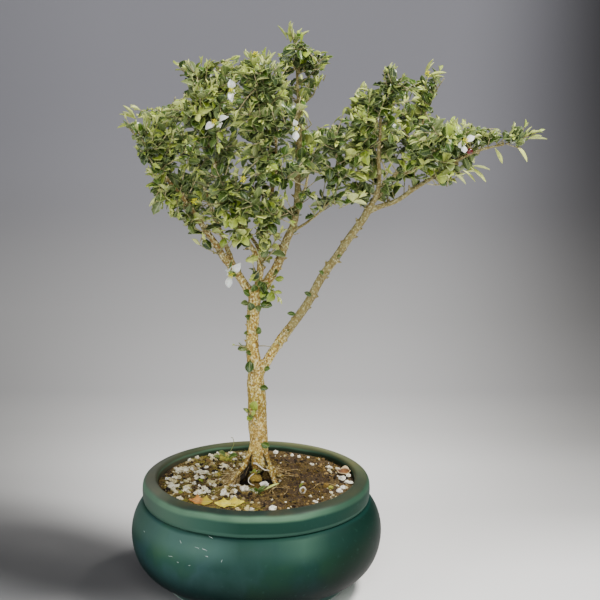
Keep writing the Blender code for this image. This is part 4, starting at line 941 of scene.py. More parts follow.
def scattered(name, finish, shapes, count, largest, where, tones, chosen=(), dimmer=1.0):
    """Grains or crumbs lying on the soil, as one piece. On the right half their tones are dimmer."""
    rng = random.Random(name)
    bm = new_bmesh()
    for x, y, size, *lift in chosen:
        tone = rng.choice(tones[-3:]) * (0.6 if x < -25 else 1.0)
        add_grain(bm, rng, shapes, x * MM, y * MM, size * MM, GRAIN_SINK - sum(lift) / size, tone)
    for x, y in on_soil(rng, where, count):
        spread = (largest - SMALLEST_GRAIN) * (1 if x < 3 * MM else 0.6)
        size = SMALLEST_GRAIN + rng.uniform(0, 1) ** 2.2 * spread
        tone = rng.choice(tones) * (dimmer if x > 3 * MM else 1.0)
        add_grain(bm, rng, shapes, x, y, size, GRAIN_SINK, tone)
    piece = show(name, bm, [finish])
    piece.data.shade_flat()


# Leaves of the seedlings: place (mm), the way each points, length, width and age
SEEDLINGS = (
    ((1, -30, 76), (0.75, 0.2, 0.6), 9, 3, 0.35), ((1, -30, 76), (-0.3, -0.3, 0.8), 6, 2.8, 0.25),
    ((2, -31, 76), (0.5, -0.4, 0.5), 7, 3, 0.2), ((0, -29, 76), (-0.8, 0.3, 0.5), 6, 2.4, 0.4),
    ((6, -27, 77.5), (0.85, 0.45, 0.25), 13, 1.8, 0.95), ((-24, 42, 78), (-0.5, -0.4, 0.7), 8, 5, 0.35),
    ((-21, 41, 78), (0.6, -0.4, 0.4), 8, 5, 0.3), ((-28, 38, 78), (-0.6, -0.5, 0.5), 6, 4, 0.45),
    ((-1, -11, 85.5), (0.1, -0.4, 0.8), 5, 3, 0.5), ((-2, -11.6, 84.5), (-0.5, -0.3, 0.7), 4, 2.4, 0.4),
    ((0.6, -11, 85), (0.6, -0.4, 0.6), 4, 2.4, 0.45), ((31, -18, 76), (0.4, -0.3, 0.7), 5, 2.2, 0.5),
    ((-38, -8, 76), (-0.4, -0.4, 0.6), 5, 2.6, 0.55),
)
# Stems and roots on the soil: the knots (mm), and the radius at both ends
STEMS = (
    (((-22, 42, 76), (-20, 41, 84), (-17.5, 40, 90), (-18, 40, 94.5), (-19.5, 41, 95)), 0.3, 0.2),
    (((-20, 41, 77), (-26, 41, 82), (-30, 40, 83), (-33, 40, 80)), 0.24, 0.18),
    (((1, -30, 75), (4, -28, 77), (8, -26, 78)), 0.4, 0.3),
)
WHITE_ROOTS = (
    (((-1.6, -8.4, 92.2), (0.4, -9.6, 92.2), (3.2, -10.6, 90.3), (6.2, -11.4, 88.3), (9.6, -11.6, 88)),
     0.7, 0.4),
    (((1, -10.5, 87.6), (-1.6, -13, 86), (-4.8, -16, 83.6), (-4.6, -18.4, 81), (-1, -20.4, 78.6)), 0.36, 0.3),
    (((34.4, -29, 75.8), (32.6, -29, 76.1), (31.6, -29, 78), (31.8, -29, 80.4), (33.4, -29, 81.6),
      (35, -29, 80.6), (35.2, -29, 78), (34.0, -29, 75.6)), 0.72, 0.6),
)
LOOSE_ROOTS = (
    (((-60, 8, 76), (-56, 12, 78), (-50, 12, 77.5), (-46, 16, 76)), 0.25, 0.2),
    (((-14, -27, 76), (-15.5, -21, 79), (-14.5, -15, 82), (-12.4, -9.5, 86)), 0.26, 0.2),
    (((-5.2, -6, 88.5), (-6.6, -9, 86), (-7.4, -10, 83.6)), 0.14, 0.12),
    (((9, -30, 76), (13, -24, 78.4), (19, -22, 77.4), (26, -20, 76)), 0.22, 0.18),
    (((18, -16, 76), (22, -22, 78), (22, -30, 77.3), (18, -35, 75.6)), 0.2, 0.16),
    (((40, -20, 75.5), (45, -14, 77.8), (52, -12, 77), (58, -15, 75.6)), 0.22, 0.18),
    (((-30, -30, 75.6), (-24, -27, 78.4), (-17, -29, 77.8), (-12, -34, 75.4)), 0.22, 0.18),
    (((-18, -30, 75.6), (-17, -24, 78.6), (-15.5, -17, 80.6), (-12, -9, 85)), 0.22, 0.18),
    (((14, -34, 75.6), (12, -27, 77.6), (15, -21, 78.6), (12, -14, 80)), 0.24, 0.18),
    (((-33, 8, 77), (-26, 4, 80), (-18, 2, 81), (-9, -2, 86)), 0.3, 0.22),
)
# Clumps of moss: in the hollow under the trunk (place, size and tone), and on the soil (x, y, size and tone)
HOLLOW_CLUMPS = (
    ((-0.8, -14.6, 72.5), 11, 0.10), ((-0.2, -14.2, 77.4), 7.6, 0.20), ((-0.5, -13.6, 82.6), 8.6, 0.42),
    ((1.6, -12.4, 81), 4.6, 0.14), ((6.4, -16, 76), 7.5, 0.10), ((-1.4, -11.4, 86), 4.4, 0.42),
    ((-0.6, -9.6, 88.6), 4.0, 0.26),
)
SOIL_CLUMPS = (
    (34, -26, 5, 0.2), (-52.5, -26, 3.2, 0.9), (53, -17.8, 4.4, 0.8), (50, -14, 5.5, 0.25),
    (-26, 46, 7, 0.75), (-22, 42, 5, 0.9), (-27, 6, 5, 0.6),
)


def crumb_share(x, y):
    """Crumbs lie everywhere but on the fallen leaves."""
    return 0.0 if by_leaf(x, y) else 1.0


def moss_share(x, y):
    """Moss grows in patches."""
    return 0.9 if noise.noise(Vector((x, y, 5)) * 60) > 0.05 else 0.15


def moss(finish):
    """Short golden and olive tufts of moss, and loose fibres lying between them."""
    rng = random.Random("moss")
    bm = new_bmesh()
    bmesh.ops.create_cone(bm, cap_ends=True, segments=3, radius1=0.5, radius2=0.12, depth=1)
    bmesh.ops.translate(bm, vec=(0, 0, 0.4), verts=bm.verts)
    fibre = kept_shape(bm, "moss_blade")
    bm = new_bmesh()
    for x, y in on_soil(rng, moss_share, MOSS_TUFTS):
        tone = rng.uniform(0, 0.36) if x > 5 * MM else rng.uniform(0.15, 1)
        lying = rng.random() < 0.4
        for _ in range(4):
            foot = Vector((x, y, 0)) + Vector((rng.gauss(0, 0.9), rng.gauss(0, 0.9), 0)) * MM
            if foot.length > MOUTH_RADIUS - 1.5 * MM:
                continue
            foot.z = soil_height(foot.x, foot.y) + (0.3 if lying else -0.2) * MM
            lean = Vector((rng.gauss(0, 0.7), rng.gauss(0, 0.7), 0.2 if lying else 0.8)).normalized()
            length = rng.uniform(1.8, 4.2) if lying else rng.uniform(1.0, 2.4)
            size = Matrix.Diagonal((0.34 * MM, 0.34 * MM, length * MM, 1))
            add_copy(bm, fibre, turned_to(foot, lean) @ size, limited(tone + rng.gauss(0, 0.15)))
    show("moss", bm, [finish])


def bent(points, thick, thin):
    """A line for add_bars, smooth through points given in mm. Its low points keep to the soil."""
    points = [mm(x, y, z + (SOIL_LIFT if z < 79 else 0)) for x, y, z in points]
    return tapered(smooth_line(points, 4), thick * MM, thin * MM)


def small_things(shapes, leafy, mossy, pale, golden):
    """A seedling, a curling sprout, loose roots and a clump of moss on the soil."""
    green = Leafing("seedlings", shapes, clipped=False)
    for place, way, length, width, age in SEEDLINGS:
        foot = mm(*place) + UP * (SOIL_LIFT * MM if place[2] < 80 else 0)
        way = Vector(way).normalized()
        green.place("young", foot, way, Vector((0.1, -0.5, 0.9)), length * MM, width * MM, age, True)
    add_bars(green.bm, [bent(*stem) for stem in STEMS], 2, 0.9)
    green.finish(leafy)
    for name, lines, finish in (("white_roots", WHITE_ROOTS, pale), ("loose_roots", LOOSE_ROOTS, golden)):
        bm = new_bmesh()
        add_bars(bm, [bent(*line) for line in lines])
        show(name, bm, [finish])
    rng = random.Random("clumps")
    bm = new_bmesh()
    lumps = grain_shapes(4, 0.45, "clumps", 4)
    for place, size, tone in HOLLOW_CLUMPS:
        add_copy(bm, rng.choice(lumps), Matrix.Translation(mm(*place)) @ Matrix.Scale(size * MM, 4), tone)
    for x, y, size, tone in SOIL_CLUMPS:
        add_grain(bm, rng, lumps, x * MM, y * MM, size * MM, 0.1, tone)
    show("moss_clumps", bm, [mossy])


# The wood

class Limb:
    """A length of wood: its line and its radius at each point."""

    def __init__(self, knots, radii):
        self.points = smooth_line(knots, 4)
        last = len(self.points) - 1
        spans = len(radii) - 1
        self.radii = []
        for index in range(last + 1):
            along = index / last * spans
            low = min(int(along), spans - 1)
            self.radii.append(radii[low] + (radii[low + 1] - radii[low]) * (along - low))
        self.length = sum((b - a).length for a, b in zip(self.points, self.points[1:]))

    def at(self, share):
        """The point, heading and radius at a share of the limb's length."""
        left = share * self.length
        for index, (a, b) in enumerate(zip(self.points, self.points[1:])):
            step = (b - a).length
            if left <= step or index == len(self.points) - 2:
                break
            left -= step
        t = min(1.0, left / step)
        radius = self.radii[index] + (self.radii[index + 1] - self.radii[index]) * t
        return a.lerp(b, t), (b - a).normalized(), radius


FULLER = {"limb": 1.08, "left_low": 1.1, "leader": 1.08, "leader_front": 0.75}
LIMB_SHIFT = Vector((1.3, 0, -0.6)) * MM
# Up to these heights (mm) the trunk is thin, and set back behind the hollow under its flare
BURIED_TOP = 78
HOLLOW_TOP = 86


def grown_limbs():
    """Every length of wood above ground, by name. The trunk is thin and set back behind the hollow."""
    radii = [2.2 if z < BURIED_TOP else 3.0 if z < HOLLOW_TOP else radius for *_, z, radius in TRUNK]
    knots = [mm(x, y + (4.5 if z < HOLLOW_TOP else 0), z) for x, y, z, _ in TRUNK]
    limbs = {"trunk": Limb(knots, [radius * MM for radius in radii])}
    for name, thick, thin, knots in BRANCHES:
        share = FULLER.get(name, 1.0)
        line = [mm(*knot) + LIMB_SHIFT * (name == "limb" and 20 < knot[0] < 76) for knot in knots]
        limbs[name] = Limb(line, [thick * share * MM, thin * share * MM])
    return limbs


# The two roots that stand free at the front, like legs: x, y, z and radius in mm. The two between them
# stay thin, at the back of the hollow.
LEFT_LEG = 228
LEGS = {
    LEFT_LEG: ((-1.4, -1, 104, 2.8), (-4.0, -3, 97.5, 2.6), (-6.8, -5, 92, 2.1), (-10.0, -7.8, 87.6, 1.6),
          (-14.2, -11.5, 83.9, 1.2), (-18.2, -16.5, 80, 1.0), (-20.6, -20, 76, 0.9), (-23, -23, 69, 0.7)),
    338: ((4.8, -0.8, 103, 2.8), (6.6, -2.4, 96.5, 2.5), (8.6, -3.6, 91, 2.2), (10.4, -5.2, 85.5, 2.0),
          (12.6, -8, 80.5, 1.8), (14.4, -11, 77, 1.6), (17, -15, 69, 1.1)),
}
BEHIND_LEGS = (262, 300)
SET_BACK = 196  # this root runs a little further back than the others
# The dark clefts between the lobes of the flare, seen from the front: from x, z to x, z
CLEFTS = ((-3.0, 96, -4.6, 88), (5.7, 96, 7.6, 87.5))


def surface_roots():
    """Roots that leave the flare of the trunk, run out over the soil and go down into it."""
    foot = mm(TRUNK[1][0], TRUNK[1][1], 0)
    roots = []
    for number, (angle, reach, thick) in enumerate(ROOTS):
        way = Vector((cos(radians(angle)), sin(radians(angle)), 0))
        aside = way.cross(UP) * (ROOT_BEND if number % 2 else -ROOT_BEND)
        aside += mm(0, 3.5 if angle == SET_BACK else 0, 0)
        if angle in LEGS:
            knots = [mm(x, y, z) for x, y, z, _ in LEGS[angle]]
            radii = [radius * MM for *_, radius in LEGS[angle]]
        elif angle in BEHIND_LEGS:
            line = ((0, 94), (0, 84), (1.5, 76), (3, 68))
            knots = [foot + way * out * MM + UP * height * MM for out, height in line]
            radii = [thick * share * MM for share in (0.8, 0.6, 0.42, 0.3)]
        else:
            knots = [
                foot + way * 3 * MM + UP * 95 * MM,
                foot + way * 7.4 * MM + aside * 0.8 + UP * 87 * MM,
                foot + way * (0.55 * reach * MM + 1.5 * MM) + aside + UP * 79.4 * MM,
                foot + way * reach * MM + aside * 0.5 + UP * 75.6 * MM,
                foot + way * (reach + 6) * MM + UP * 69 * MM,
            ]
            radii = [thick * share * MM for share in (1.2, 1.0, 0.8, 0.62, 0.4)]
        roots.append(Limb(knots, radii))
    return roots


# Where dead stubs sit: the branch, from how far along it, and how far apart (mm)
SPURS = (
    ("limb", 0.12, 5), ("left_low", 0.2, 7), ("leader", 0.12, 6), ("limb_long", 0.1, 8), ("trunk", 0.5, 9),
    ("middle_left", 0.1, 9),
)


def spurs(limbs):
    """Short dead stubs along the limb and the lower branches, where leaves and twigs have dropped."""
    rng = random.Random("spurs")
    lines = []
    for name, from_share, spacing in SPURS:
        limb = limbs[name]
        count = int(limb.length * (1 - from_share) / (spacing * MM))
        for index in range(count):
            place, heading, radius = limb.at(from_share + (1 - from_share) * (index + rng.random()) / count)
            way = (aside_of(heading, rng.uniform(0, tau)) + heading * 0.5).normalized()
            length = radius + rng.uniform(1.3, 3.8) * MM
            points = [place, place + way * length * 0.7, place + way * length + heading * 0.5 * MM]
            lines.append((points, [1.3 * MM, 0.95 * MM, 0.55 * MM]))
    return lines


def flare_shade_and_cleft(place, out):
    """How much painted shade darkens the bark in the hollow under the flare and in its clefts, and the depth
    of the cleft.
    """
    x, z = seen(place)
    back, height = place.y, place.z
    flare = min((92.5 * MM - height) / (3 * MM), (back + 4.5 * MM) / (2 * MM), (10.5 * MM - out) / (2 * MM))
    left = min((89.5 * MM - height) / (1.2 * MM), (back + 6.2 * MM) / (0.8 * MM), x + 12.5, -2.4 - x)
    cleft = 0.0
    if back < 0 and height < 0.1:
        for line in CLEFTS:
            share, off = from_line(x, z, *line)
            cleft = max(cleft, min(1.0, 1.5 - off / (0.45 + 0.5 * share)))
    return limited(max(flare, left, cleft)), cleft


def bark_body(limbs, roots, finish):
    """The trunk, roots and branches as one grown skin: swept bars, fused, smoothed and roughened."""
    bars = [(limb.points, limb.radii) for limb in [*limbs.values(), *roots]]
    body = put("bark", swept(bars + spurs(limbs), 12))
    skin = body.modifiers.new("Skin", "REMESH")
    skin.mode = "VOXEL"
    skin.voxel_size = SKIN_GRAIN
    fused = evaluated(body)
    bpy.data.objects.remove(body)
    bm = bmesh.new()
    bm.from_mesh(fused)
    bpy.data.meshes.remove(fused)
    for _ in range(2):
        bmesh.ops.smooth_vert(
            bm, verts=bm.verts, factor=0.5, use_axis_x=True, use_axis_y=True, use_axis_z=True
        )
    bm.normal_update()
    thin, hollow, painted_flare_shade = (bm.verts.layers.float.new(name) for name in ("thin", "hollow", "painted_flare_shade"))
    moved = []
    for vert in bm.verts:
        place = vert.co
        stretched = Vector((place.x, place.y, place.z * 0.45))
        ridges = noise.noise(stretched * 520)
        warts = noise.noise(place * 900)
        out = hypot(place.x - 2 * MM, place.y)
        limb_share = limited((out - 8 * MM) / (25 * MM)) if place.z > 0.11 else 0.0
        stout = (1 - limited((place.z - 0.19) / 0.07)) * (1 - 0.85 * limb_share)
        # Painted shade for the hollow and the clefts; the cleft also sinks the skin
        vert[painted_flare_shade], cleft = flare_shade_and_cleft(place, out)
        depth = ridges * (0.08 + 0.28 * stout) + warts * (0.05 + 0.2 * stout)
        depth += noise.noise(stretched * 160) * 0.4 * stout
        vert[thin] = 1 - stout
        vert[hollow] = max(0.0, -ridges - warts * 0.5) * 1.2
        moved.append((vert, vert.normal * ((depth - 0.9 * cleft) * MM)))
    for vert, way in moved:
        vert.co += way
    show("bark", bm, [finish], ["wood"])


# Hair roots: how many, the compass angles between which they leave the flare, how far out and how high
# they start (mm), and how far their ring is set back
HAIR_ROOTS = (
    (36, 188, 210, (15, 17.5), (78.5, 82), 1.5), (14, 150, 186, (10.5, 13), (79, 85), 0),
    (14, 22, 150, (10.5, 13), (79, 85), 0), (6, -30, 22, (10.5, 13), (79, 85), 0),
)
LEG_HAIRS = 44


def fine_roots(finish):
    """Hair roots that hang from the flare and run over the soil, thickest at the front left."""
    rng = random.Random("fine roots")
    lines = []
    for count, low, high, out, rise, back in HAIR_ROOTS:
        for _ in range(count):
            angle = radians(rng.uniform(low, high))
            way = Vector((cos(angle), sin(angle), 0))
            start = mm(2, back, 0) + way * rng.uniform(*out) * MM + UP * rng.uniform(*rise) * MM
            reach = rng.uniform(7, 26) * MM
            knots = [start]
            for step in (0.25, 0.5, 0.75, 1.0):
                spot = start + way * reach * step + way.cross(UP) * rng.gauss(0, 1.9) * MM
                ground = soil_height(spot.x, spot.y)
                hang = (1 - step) ** 1.6 * (start.z - ground) + rng.gauss(0, 0.5) * MM
                spot.z = ground + max(0.2 * MM, hang)
                knots.append(spot)
            knots[-1].z -= 1.4 * MM
            thick = rng.uniform(0.16, 0.46) * MM
            lines.append(tapered(smooth_line(knots, 4), thick, thick * 0.5))
    leg = Limb([mm(x, y, z) for x, y, z, _ in LEGS[LEFT_LEG]], [1, 1])
    for _ in range(LEG_HAIRS):
        start, *_ = leg.at(rng.uniform(0.44, 0.9))
        spot = start + mm(-abs(rng.gauss(0, 6)), rng.gauss(-1.0, 3.0), 0)
        spot.z = soil_height(spot.x, spot.y) - 1.2 * MM
        middle = start.lerp(spot, 0.5) + mm(rng.gauss(-0.5, 1), rng.gauss(-1, 0.8), 1.6)
        thick = rng.uniform(0.18, 0.42) * MM
        knots = [start, start.lerp(middle, 0.5) + UP * 0.4 * MM, middle, spot]
        lines.append(tapered(smooth_line(knots, 3), thick, thick * 0.6))
    bm = new_bmesh()
    add_bars(bm, lines)
    show("fine_roots", bm, [finish])


# Leaves

def blade(name, outline, fold, arch, wave):
    """A leaf one unit long and wide, lying along +Y with its face up, as a thin closed shell."""
    rows = len(outline) - 1

    def shape(side, along):
        row = round(along * rows)
        side = round(side)
        along, half = outline[row]
        lift = fold * abs(side) * half - arch * along ** 2 + wave * abs(side) * (-1) ** row * half
        return side * half, along, lift

    bm = sheet(2, rows, shape, 0.03, 1e-4)
    for face in bm.faces:
        face.material_index = 0 if face.normal.z > 0.25 else 1
    return kept_shape(bm, name)


# The leaf forms by kind: their outline, and the fold, arch and wave of each
LEAF_FORMS = (
    ("spiny", SPINY, ((0.35, 0.12, 0.10), (0.2, 0.05, 0.16), (0.5, 0.2, 0.08))),
    ("round", ROUND, ((0.3, 0.14, 0.0), (0.15, 0.24, 0.05), (0.5, 0.06, 0.03), (-0.12, 0.1, 0.06))),
    ("young", YOUNG, ((0.8, 0.05, 0.0), (0.5, 0.14, 0.04))),
)


def leaf_shapes():
    """The leaf forms by kind: grown ones, some of them spiny, and narrow young ones."""
    return {
        kind: [blade(f"{kind}_{index}", outline, *bends) for index, bends in enumerate(forms)]
        for kind, outline, forms in LEAF_FORMS
    }


def seen(place):
    """The x and z (mm) at which a point is seen from the front, on the plane through the trunk."""
    eye = mm(*CAMERA_PLACE)
    share = eye.y / (eye.y - place.y)
    return (eye.x + (place.x - eye.x) * share) / MM, (eye.z + (place.z - eye.z) * share) / MM


def from_line(x, z, x1, z1, x2, z2):
    """How far along a line the point nearest to x, z lies, as a share, and how far off x, z is."""
    run = Vector((x2 - x1, z2 - z1))
    share = limited(((x - x1) * run.x + (z - z1) * run.y) / run.length_squared)
    return share, hypot(x - x1 - run.x * share, z - z1 - run.y * share)


class Twig:
    """A thin stem along a bowed line."""

    def __init__(self, start, heading, tip):
        self.start = start
        self.tip = tip
        self.end = 1.0
        self.bow = start + heading * ((tip - start).length * 0.42)
        points = [self.point(index / 8) for index in range(9)]
        self.length = sum((b - a).length for a, b in zip(points, points[1:]))

    def point(self, t):
        """Its point at a share of its way."""
        return self.start * (1 - t) ** 2 + self.bow * (2 * t * (1 - t)) + self.tip * t ** 2

    def heading(self, t):
        """The way it points there."""
        slope = (self.bow - self.start) * (1 - t) + (self.tip - self.bow) * t
        return slope.normalized()

    def line(self, thick, thin, steps):
        """The stem as a line for add_bars."""
        return tapered([self.point(self.end * index / steps) for index in range(steps + 1)], thick, thin)


def in_outline(place):
    """True if the point is seen inside the crown's outline."""
    x, z = seen(place)
    inside = False
    for (x1, z1), (x2, z2) in zip(OUTLINE, OUTLINE[1:] + OUTLINE[:1]):
        inside ^= (z1 > z) != (z2 > z) and x < x1 + (z - z1) * (x2 - x1) / (z2 - z1)
    return inside


def in_gap(place):
    """True if the point is seen in a gap of the crown."""
    x, z = seen(place)
    return any(hypot(x - gap_x, z - gap_z) < radius for gap_x, gap_z, radius in GAPS)


def hides_wood(place):
    """True if the point is seen in front of a stretch of wood that shows between the leaves."""
    x, z = seen(place)
    return any(from_line(x, z, *line)[1] < half + 1.5 for *line, half in BARE)


def aside_of(heading, turn):
    """A direction square to the heading, turned round it."""
    return Matrix.Rotation(turn, 3, heading) @ heading.orthogonal().normalized()


# Sprays whose twigs would cross open air on the way to their tips
CUT_SHORT = {"spray_right_edge", "spray_top_right", "spray_right_back"}


# Where the foliage is darker or paler, seen from the front: x, z and reach in mm, and by how much
TONES_BY_PLACE = (
    (-18, 320, 30, -0.16), (42, 290, 20, -0.30), (-24, 296, 24, -0.10), (72, 362, 20, -0.12),
    (-45, 372, 34, 0.14), (-20, 372, 26, 0.20), (4, 345, 20, 0.10), (34, 378, 26, -0.34), (8, 262, 24, 0.20),
    (-58, 335, 26, 0.08), (134, 342, 24, 0.12), (132, 318, 14, -0.10),
)


def paler_at(place):
    """How much paler the foliage is where the point is seen."""
    x, z = seen(place)
    return sum(
        much * max(0.0, 1 - ((x - u) ** 2 + (z - v) ** 2) / reach ** 2)
        for u, v, reach, much in TONES_BY_PLACE
    )


class Leafing:
    """Twigs that are leafed out in full, as one piece."""

    def __init__(self, name, shapes, scale=1.0, clipped=True):
        self.name = name
        self.random = random.Random(name)
        self.shapes = shapes
        self.bm = new_bmesh()
        self.scale = scale
        self.clipped = clipped
        self.fresh = self.random.uniform(0.0, 0.44)
        self.twigs = []

    def side_twigs(self, twig):
        """Side twigs all along a long twig, shorter towards its tip."""
        count = max(2, int(twig.length / SIDE_SPACING))
        spin = self.random.uniform(0, tau)
        for index in range(count):
            t = 0.1 + 0.8 * index / count
            heading = twig.heading(t)
            start = twig.point(t)
            for _ in range(4):
                spin += 2.4 + self.random.uniform(-0.5, 0.5)
                way = (aside_of(heading, spin) + heading * 0.7 + UP * 0.2).normalized()
                length = SIDE_TWIG * self.random.uniform(0.5, 1.15) * (1.1 - 0.5 * t)
                end = start + way * length + UP * (0.12 * length)
                if not self.clipped or in_outline(end + way * 5 * MM):
                    self.twigs.append((Twig(start, way, end), TWIG_RADIUS * 0.8))
                    break

    def short_shoots(self, limb, share):
        """Leafy shoots straight off the branch, below the spray."""
        for index in range(SHORT_SHOOTS):
            spot = share - 0.03 - 0.045 * index + self.random.uniform(-0.015, 0.015)
            if spot < 0.16:
                continue
            place, heading, radius = limb.at(spot)
            way = (aside_of(heading, self.random.uniform(0, tau)) + heading * 0.5).normalized()
            length = self.random.uniform(7, 18) * MM
            start = place + way * radius * 0.4
            end = start + way * length + UP * 0.2 * length
            if in_outline(end):
                self.twigs.append((Twig(start, way, end), TWIG_RADIUS * 0.75))

    def leafed(self):
        """Grows a pair of leaves at each joint of each twig, and new leaves at its tip."""
        lines = []
        for twig, thick in self.twigs:
            while self.clipped and twig.end > 0.35 and not in_outline(twig.point(twig.end)):
                twig.end -= 0.07
            if self.name in CUT_SHORT:
                steps = [0.4 + 0.05 * index for index in range(13)]
                twig.end = min([step for step in steps if not in_outline(twig.point(step))], default=twig.end)
            lines.append(twig.line(thick, TWIG_TIP_RADIUS * 0.8, 6 if twig.length > LONG_TWIG else 4))
            spacing = PAIR_SPACING * (0.75 if self.scale < 1 else 1)
            count = max(1, int((twig.length - 1.5 * MM) / spacing))
            turn = self.random.uniform(0, pi)
            fresh = self.fresh + self.random.gauss(0, 0.16) + paler_at(twig.point(0.5))
            for index in range(count):
                t = (FIRST_PAIR + (twig.length - FIRST_PAIR) * index / count) / twig.length
                if t > twig.end:
                    break
                heading = twig.heading(t)
                turn += pi / 2 + self.random.uniform(-0.35, 0.35)
                for side in (0, pi):
                    if self.random.random() < SKIPPED_SHARE:
                        continue
                    age = fresh - 0.02 + 0.3 * t ** 3 + self.random.gauss(0, 0.19)
                    self.leaf(twig.point(t), heading, aside_of(heading, turn + side), t, age)
            self.tip(twig, fresh)
        add_bars(self.bm, lines, 2, self.fresh * 0.5)

    def leaf(self, foot, heading, around, t, age):
        """One grown leaf, leaning out from its twig."""
        pitch = radians(self.random.uniform(46, 82) - 20 * t)
        out = heading * cos(pitch) + around * sin(pitch)
        face = heading * 0.45 + UP * 0.7 + Vector([self.random.gauss(0, 0.38) for _ in range(3)])
        spread = self.random.choice((0.55, 0.7, 0.8, 0.9, 1.0, 1.0, 1.15, 1.3))
        length = LEAF_LENGTH * spread * self.random.uniform(0.9, 1.08) * (1 - 0.25 * t ** 2) * self.scale
        width = length * LEAF_WIDTH / LEAF_LENGTH * self.random.uniform(0.78, 1.15)
        kind = "spiny" if self.random.random() < SPINY_SHARE else "round"
        self.place(kind, foot, out, face, length, width, age)

    def tip(self, twig, fresh):
        """Two or three narrow new leaves that carry the twig on."""
        heading = twig.heading(twig.end)
        turn = self.random.uniform(0, tau)
        for index in range(3):
            around = aside_of(heading, turn + index * 2.2)
            out = (heading + around * self.random.uniform(0.15, 0.45)).normalized()
            length = self.random.uniform(4.5, 8.5) * MM * self.scale
            age = 0.6 + fresh * 0.5 + self.random.gauss(0, 0.18)
            face = around * -0.6 + UP * 0.6
            self.place("young", twig.point(twig.end), out, face, length, length * 0.3, age)

    def sprig(self, place, way, lengths, spread, age):
        """A tuft of long narrow new leaves at the end of a shoot."""
        heading = Vector(way).normalized()
        turn = self.random.uniform(0, tau)
        for index, length in enumerate(lengths):
            around = aside_of(heading, turn + index * 2.4)
            out = (heading + around * spread * self.random.uniform(0.5, 1.1)).normalized()
            face = UP - out * out.z + around * 0.4
            self.place("young", mm(*place), out, face, length * MM, length * 0.24 * MM, age, True)

    def place(self, kind, foot, out, face, length, width, age, always=False):
        """Puts a leaf there, unless it would hang outside the crown, in a gap or before bare wood."""
        middle = foot + out * length * 0.62
        if not always and self.clipped:
            if not in_outline(middle) or not in_outline(foot + out * length * 0.95) or in_gap(middle):
                return
            if hides_wood(middle) and middle.y < 3 * MM:
                return
        across = out.cross(face).normalized()
        turn = Matrix((across, out, across.cross(out))).transposed().to_4x4()
        size = Matrix.Diagonal((width, length, width * 1.45, 1))
        shape = self.random.choice(self.shapes[kind])
        add_copy(self.bm, shape, Matrix.Translation(foot) @ turn @ size, limited(age))

    def finish(self, materials, *nodes):
        """Shows the piece, in place of the solids named."""
        show(self.name.replace("spray", "leaves"), self.bm, materials, nodes)


def leafy_spray(name, limb, share, tips, shapes):
    """One leafy spray, leafed out in full round the same twigs as its solid."""
    short = name in SHORT_SPRAYS
    spray = Leafing(name, shapes, SHORT_SPRAYS.get(name, 1.0), not short)
    place, along, radius = limb.at(share)
    tips = [mm(*tip) for tip in tips]
    tips = [tip - (tip - place).normalized() * (6 * MM * spray.scale) for tip in tips]
    aim = (tips[0] - place).normalized()
    if share < 1:
        outward = (aim - along * aim.dot(along)).normalized()
        heading = (outward + along * 0.45).normalized()
    else:
        heading = (along + aim).normalized()
    main = Twig(place + heading * radius * 0.5, heading, tips[0])
    spray.twigs.append((main, TWIG_RADIUS * 1.25))
    for tip in tips[1:]:
        start = main.point(0.35)
        way = (tip - start).normalized()
        fork = (main.heading(0.35) + way * 0.8).normalized()
        spray.twigs.append((Twig(start, fork, tip), TWIG_RADIUS * 1.1))
    if not short:
        for twig, _ in list(spray.twigs):
            spray.side_twigs(twig)
        spray.short_shoots(limb, share)
    return spray


def inner_twigs(name, limbs, shapes):
    """Leafy twigs that fill the heart of the crown."""
    filled = Leafing(name, shapes)
    for branch, *twigs in INNER_TWIGS[name]:
        for share, *tip in twigs:
            place, along, radius = limbs[branch].at(share)
            aim = (mm(*tip) - place).normalized()
            heading = (aim + along * 0.3).normalized()
            twig = Twig(place + heading * radius * 0.5, heading, mm(*tip) - aim * 3 * MM)
            filled.twigs.append((twig, TWIG_RADIUS))
            filled.side_twigs(twig)
    return filled


# Long narrow new leaves at the end of a spray: where they spring (mm), the way they point, their lengths
# (mm), how far they spread, and their age
SPRIGS = {
    "spray_left_tip": (
        ((-79, -18, 340), (-0.85, 0, 0.5), (13, 11, 12), 0.45, 0.85),
        ((-80, -18, 336), (-1, 0, -0.05), (12, 10), 0.2, 0.75),
    ),
    "spray_left_top": (
        ((-47, 14, 370), (-0.85, 0, 0.55), (10, 8), 0.25, 0.85),
    ),
    "spray_top": (
        ((25, 4, 389), (0.0, 0, 1), (15, 10), 0.35, 0.8), ((27, 2, 388), (0.75, 0, 0.6), (14,), 0.1, 0.9),
        ((23, 2, 391), (-0.55, 0, 0.8), (12,), 0.1, 0.6),
    ),
    "spray_slant_tip": (
        ((118, 26, 364), (0.35, 0, 0.85), (13, 11), 0.3, 0.95),
        ((119, 24, 363), (1, 0, 0.15), (14, 12), 0.15, 0.85),
    ),
    "spray_long_tip": (
        ((184, -6, 326), (0.75, 0, 0.6), (12, 9, 9), 0.5, 0.85),
        ((186, -8, 325), (1, 0, 0.1), (14, 10), 0.2, 0.7),
        ((178, -10, 321), (0.55, 0, -0.75), (14,), 0.1, 0.95),
        ((164, -10, 319), (0.5, 0, -0.8), (12,), 0.1, 0.9),
    ),
    "spray_long_low": (
        ((148, -16, 308), (0.9, 0, -0.15), (13,), 0.1, 0.8),
        ((147, -16, 307), (0.75, 0, -0.6), (15,), 0.1, 0.95),
        ((142, -16, 305), (0.7, 0, -0.55), (12,), 0.1, 0.9),
        ((137, -17, 302), (0.65, 0, -0.6), (10,), 0.1, 0.9),
    ),
}
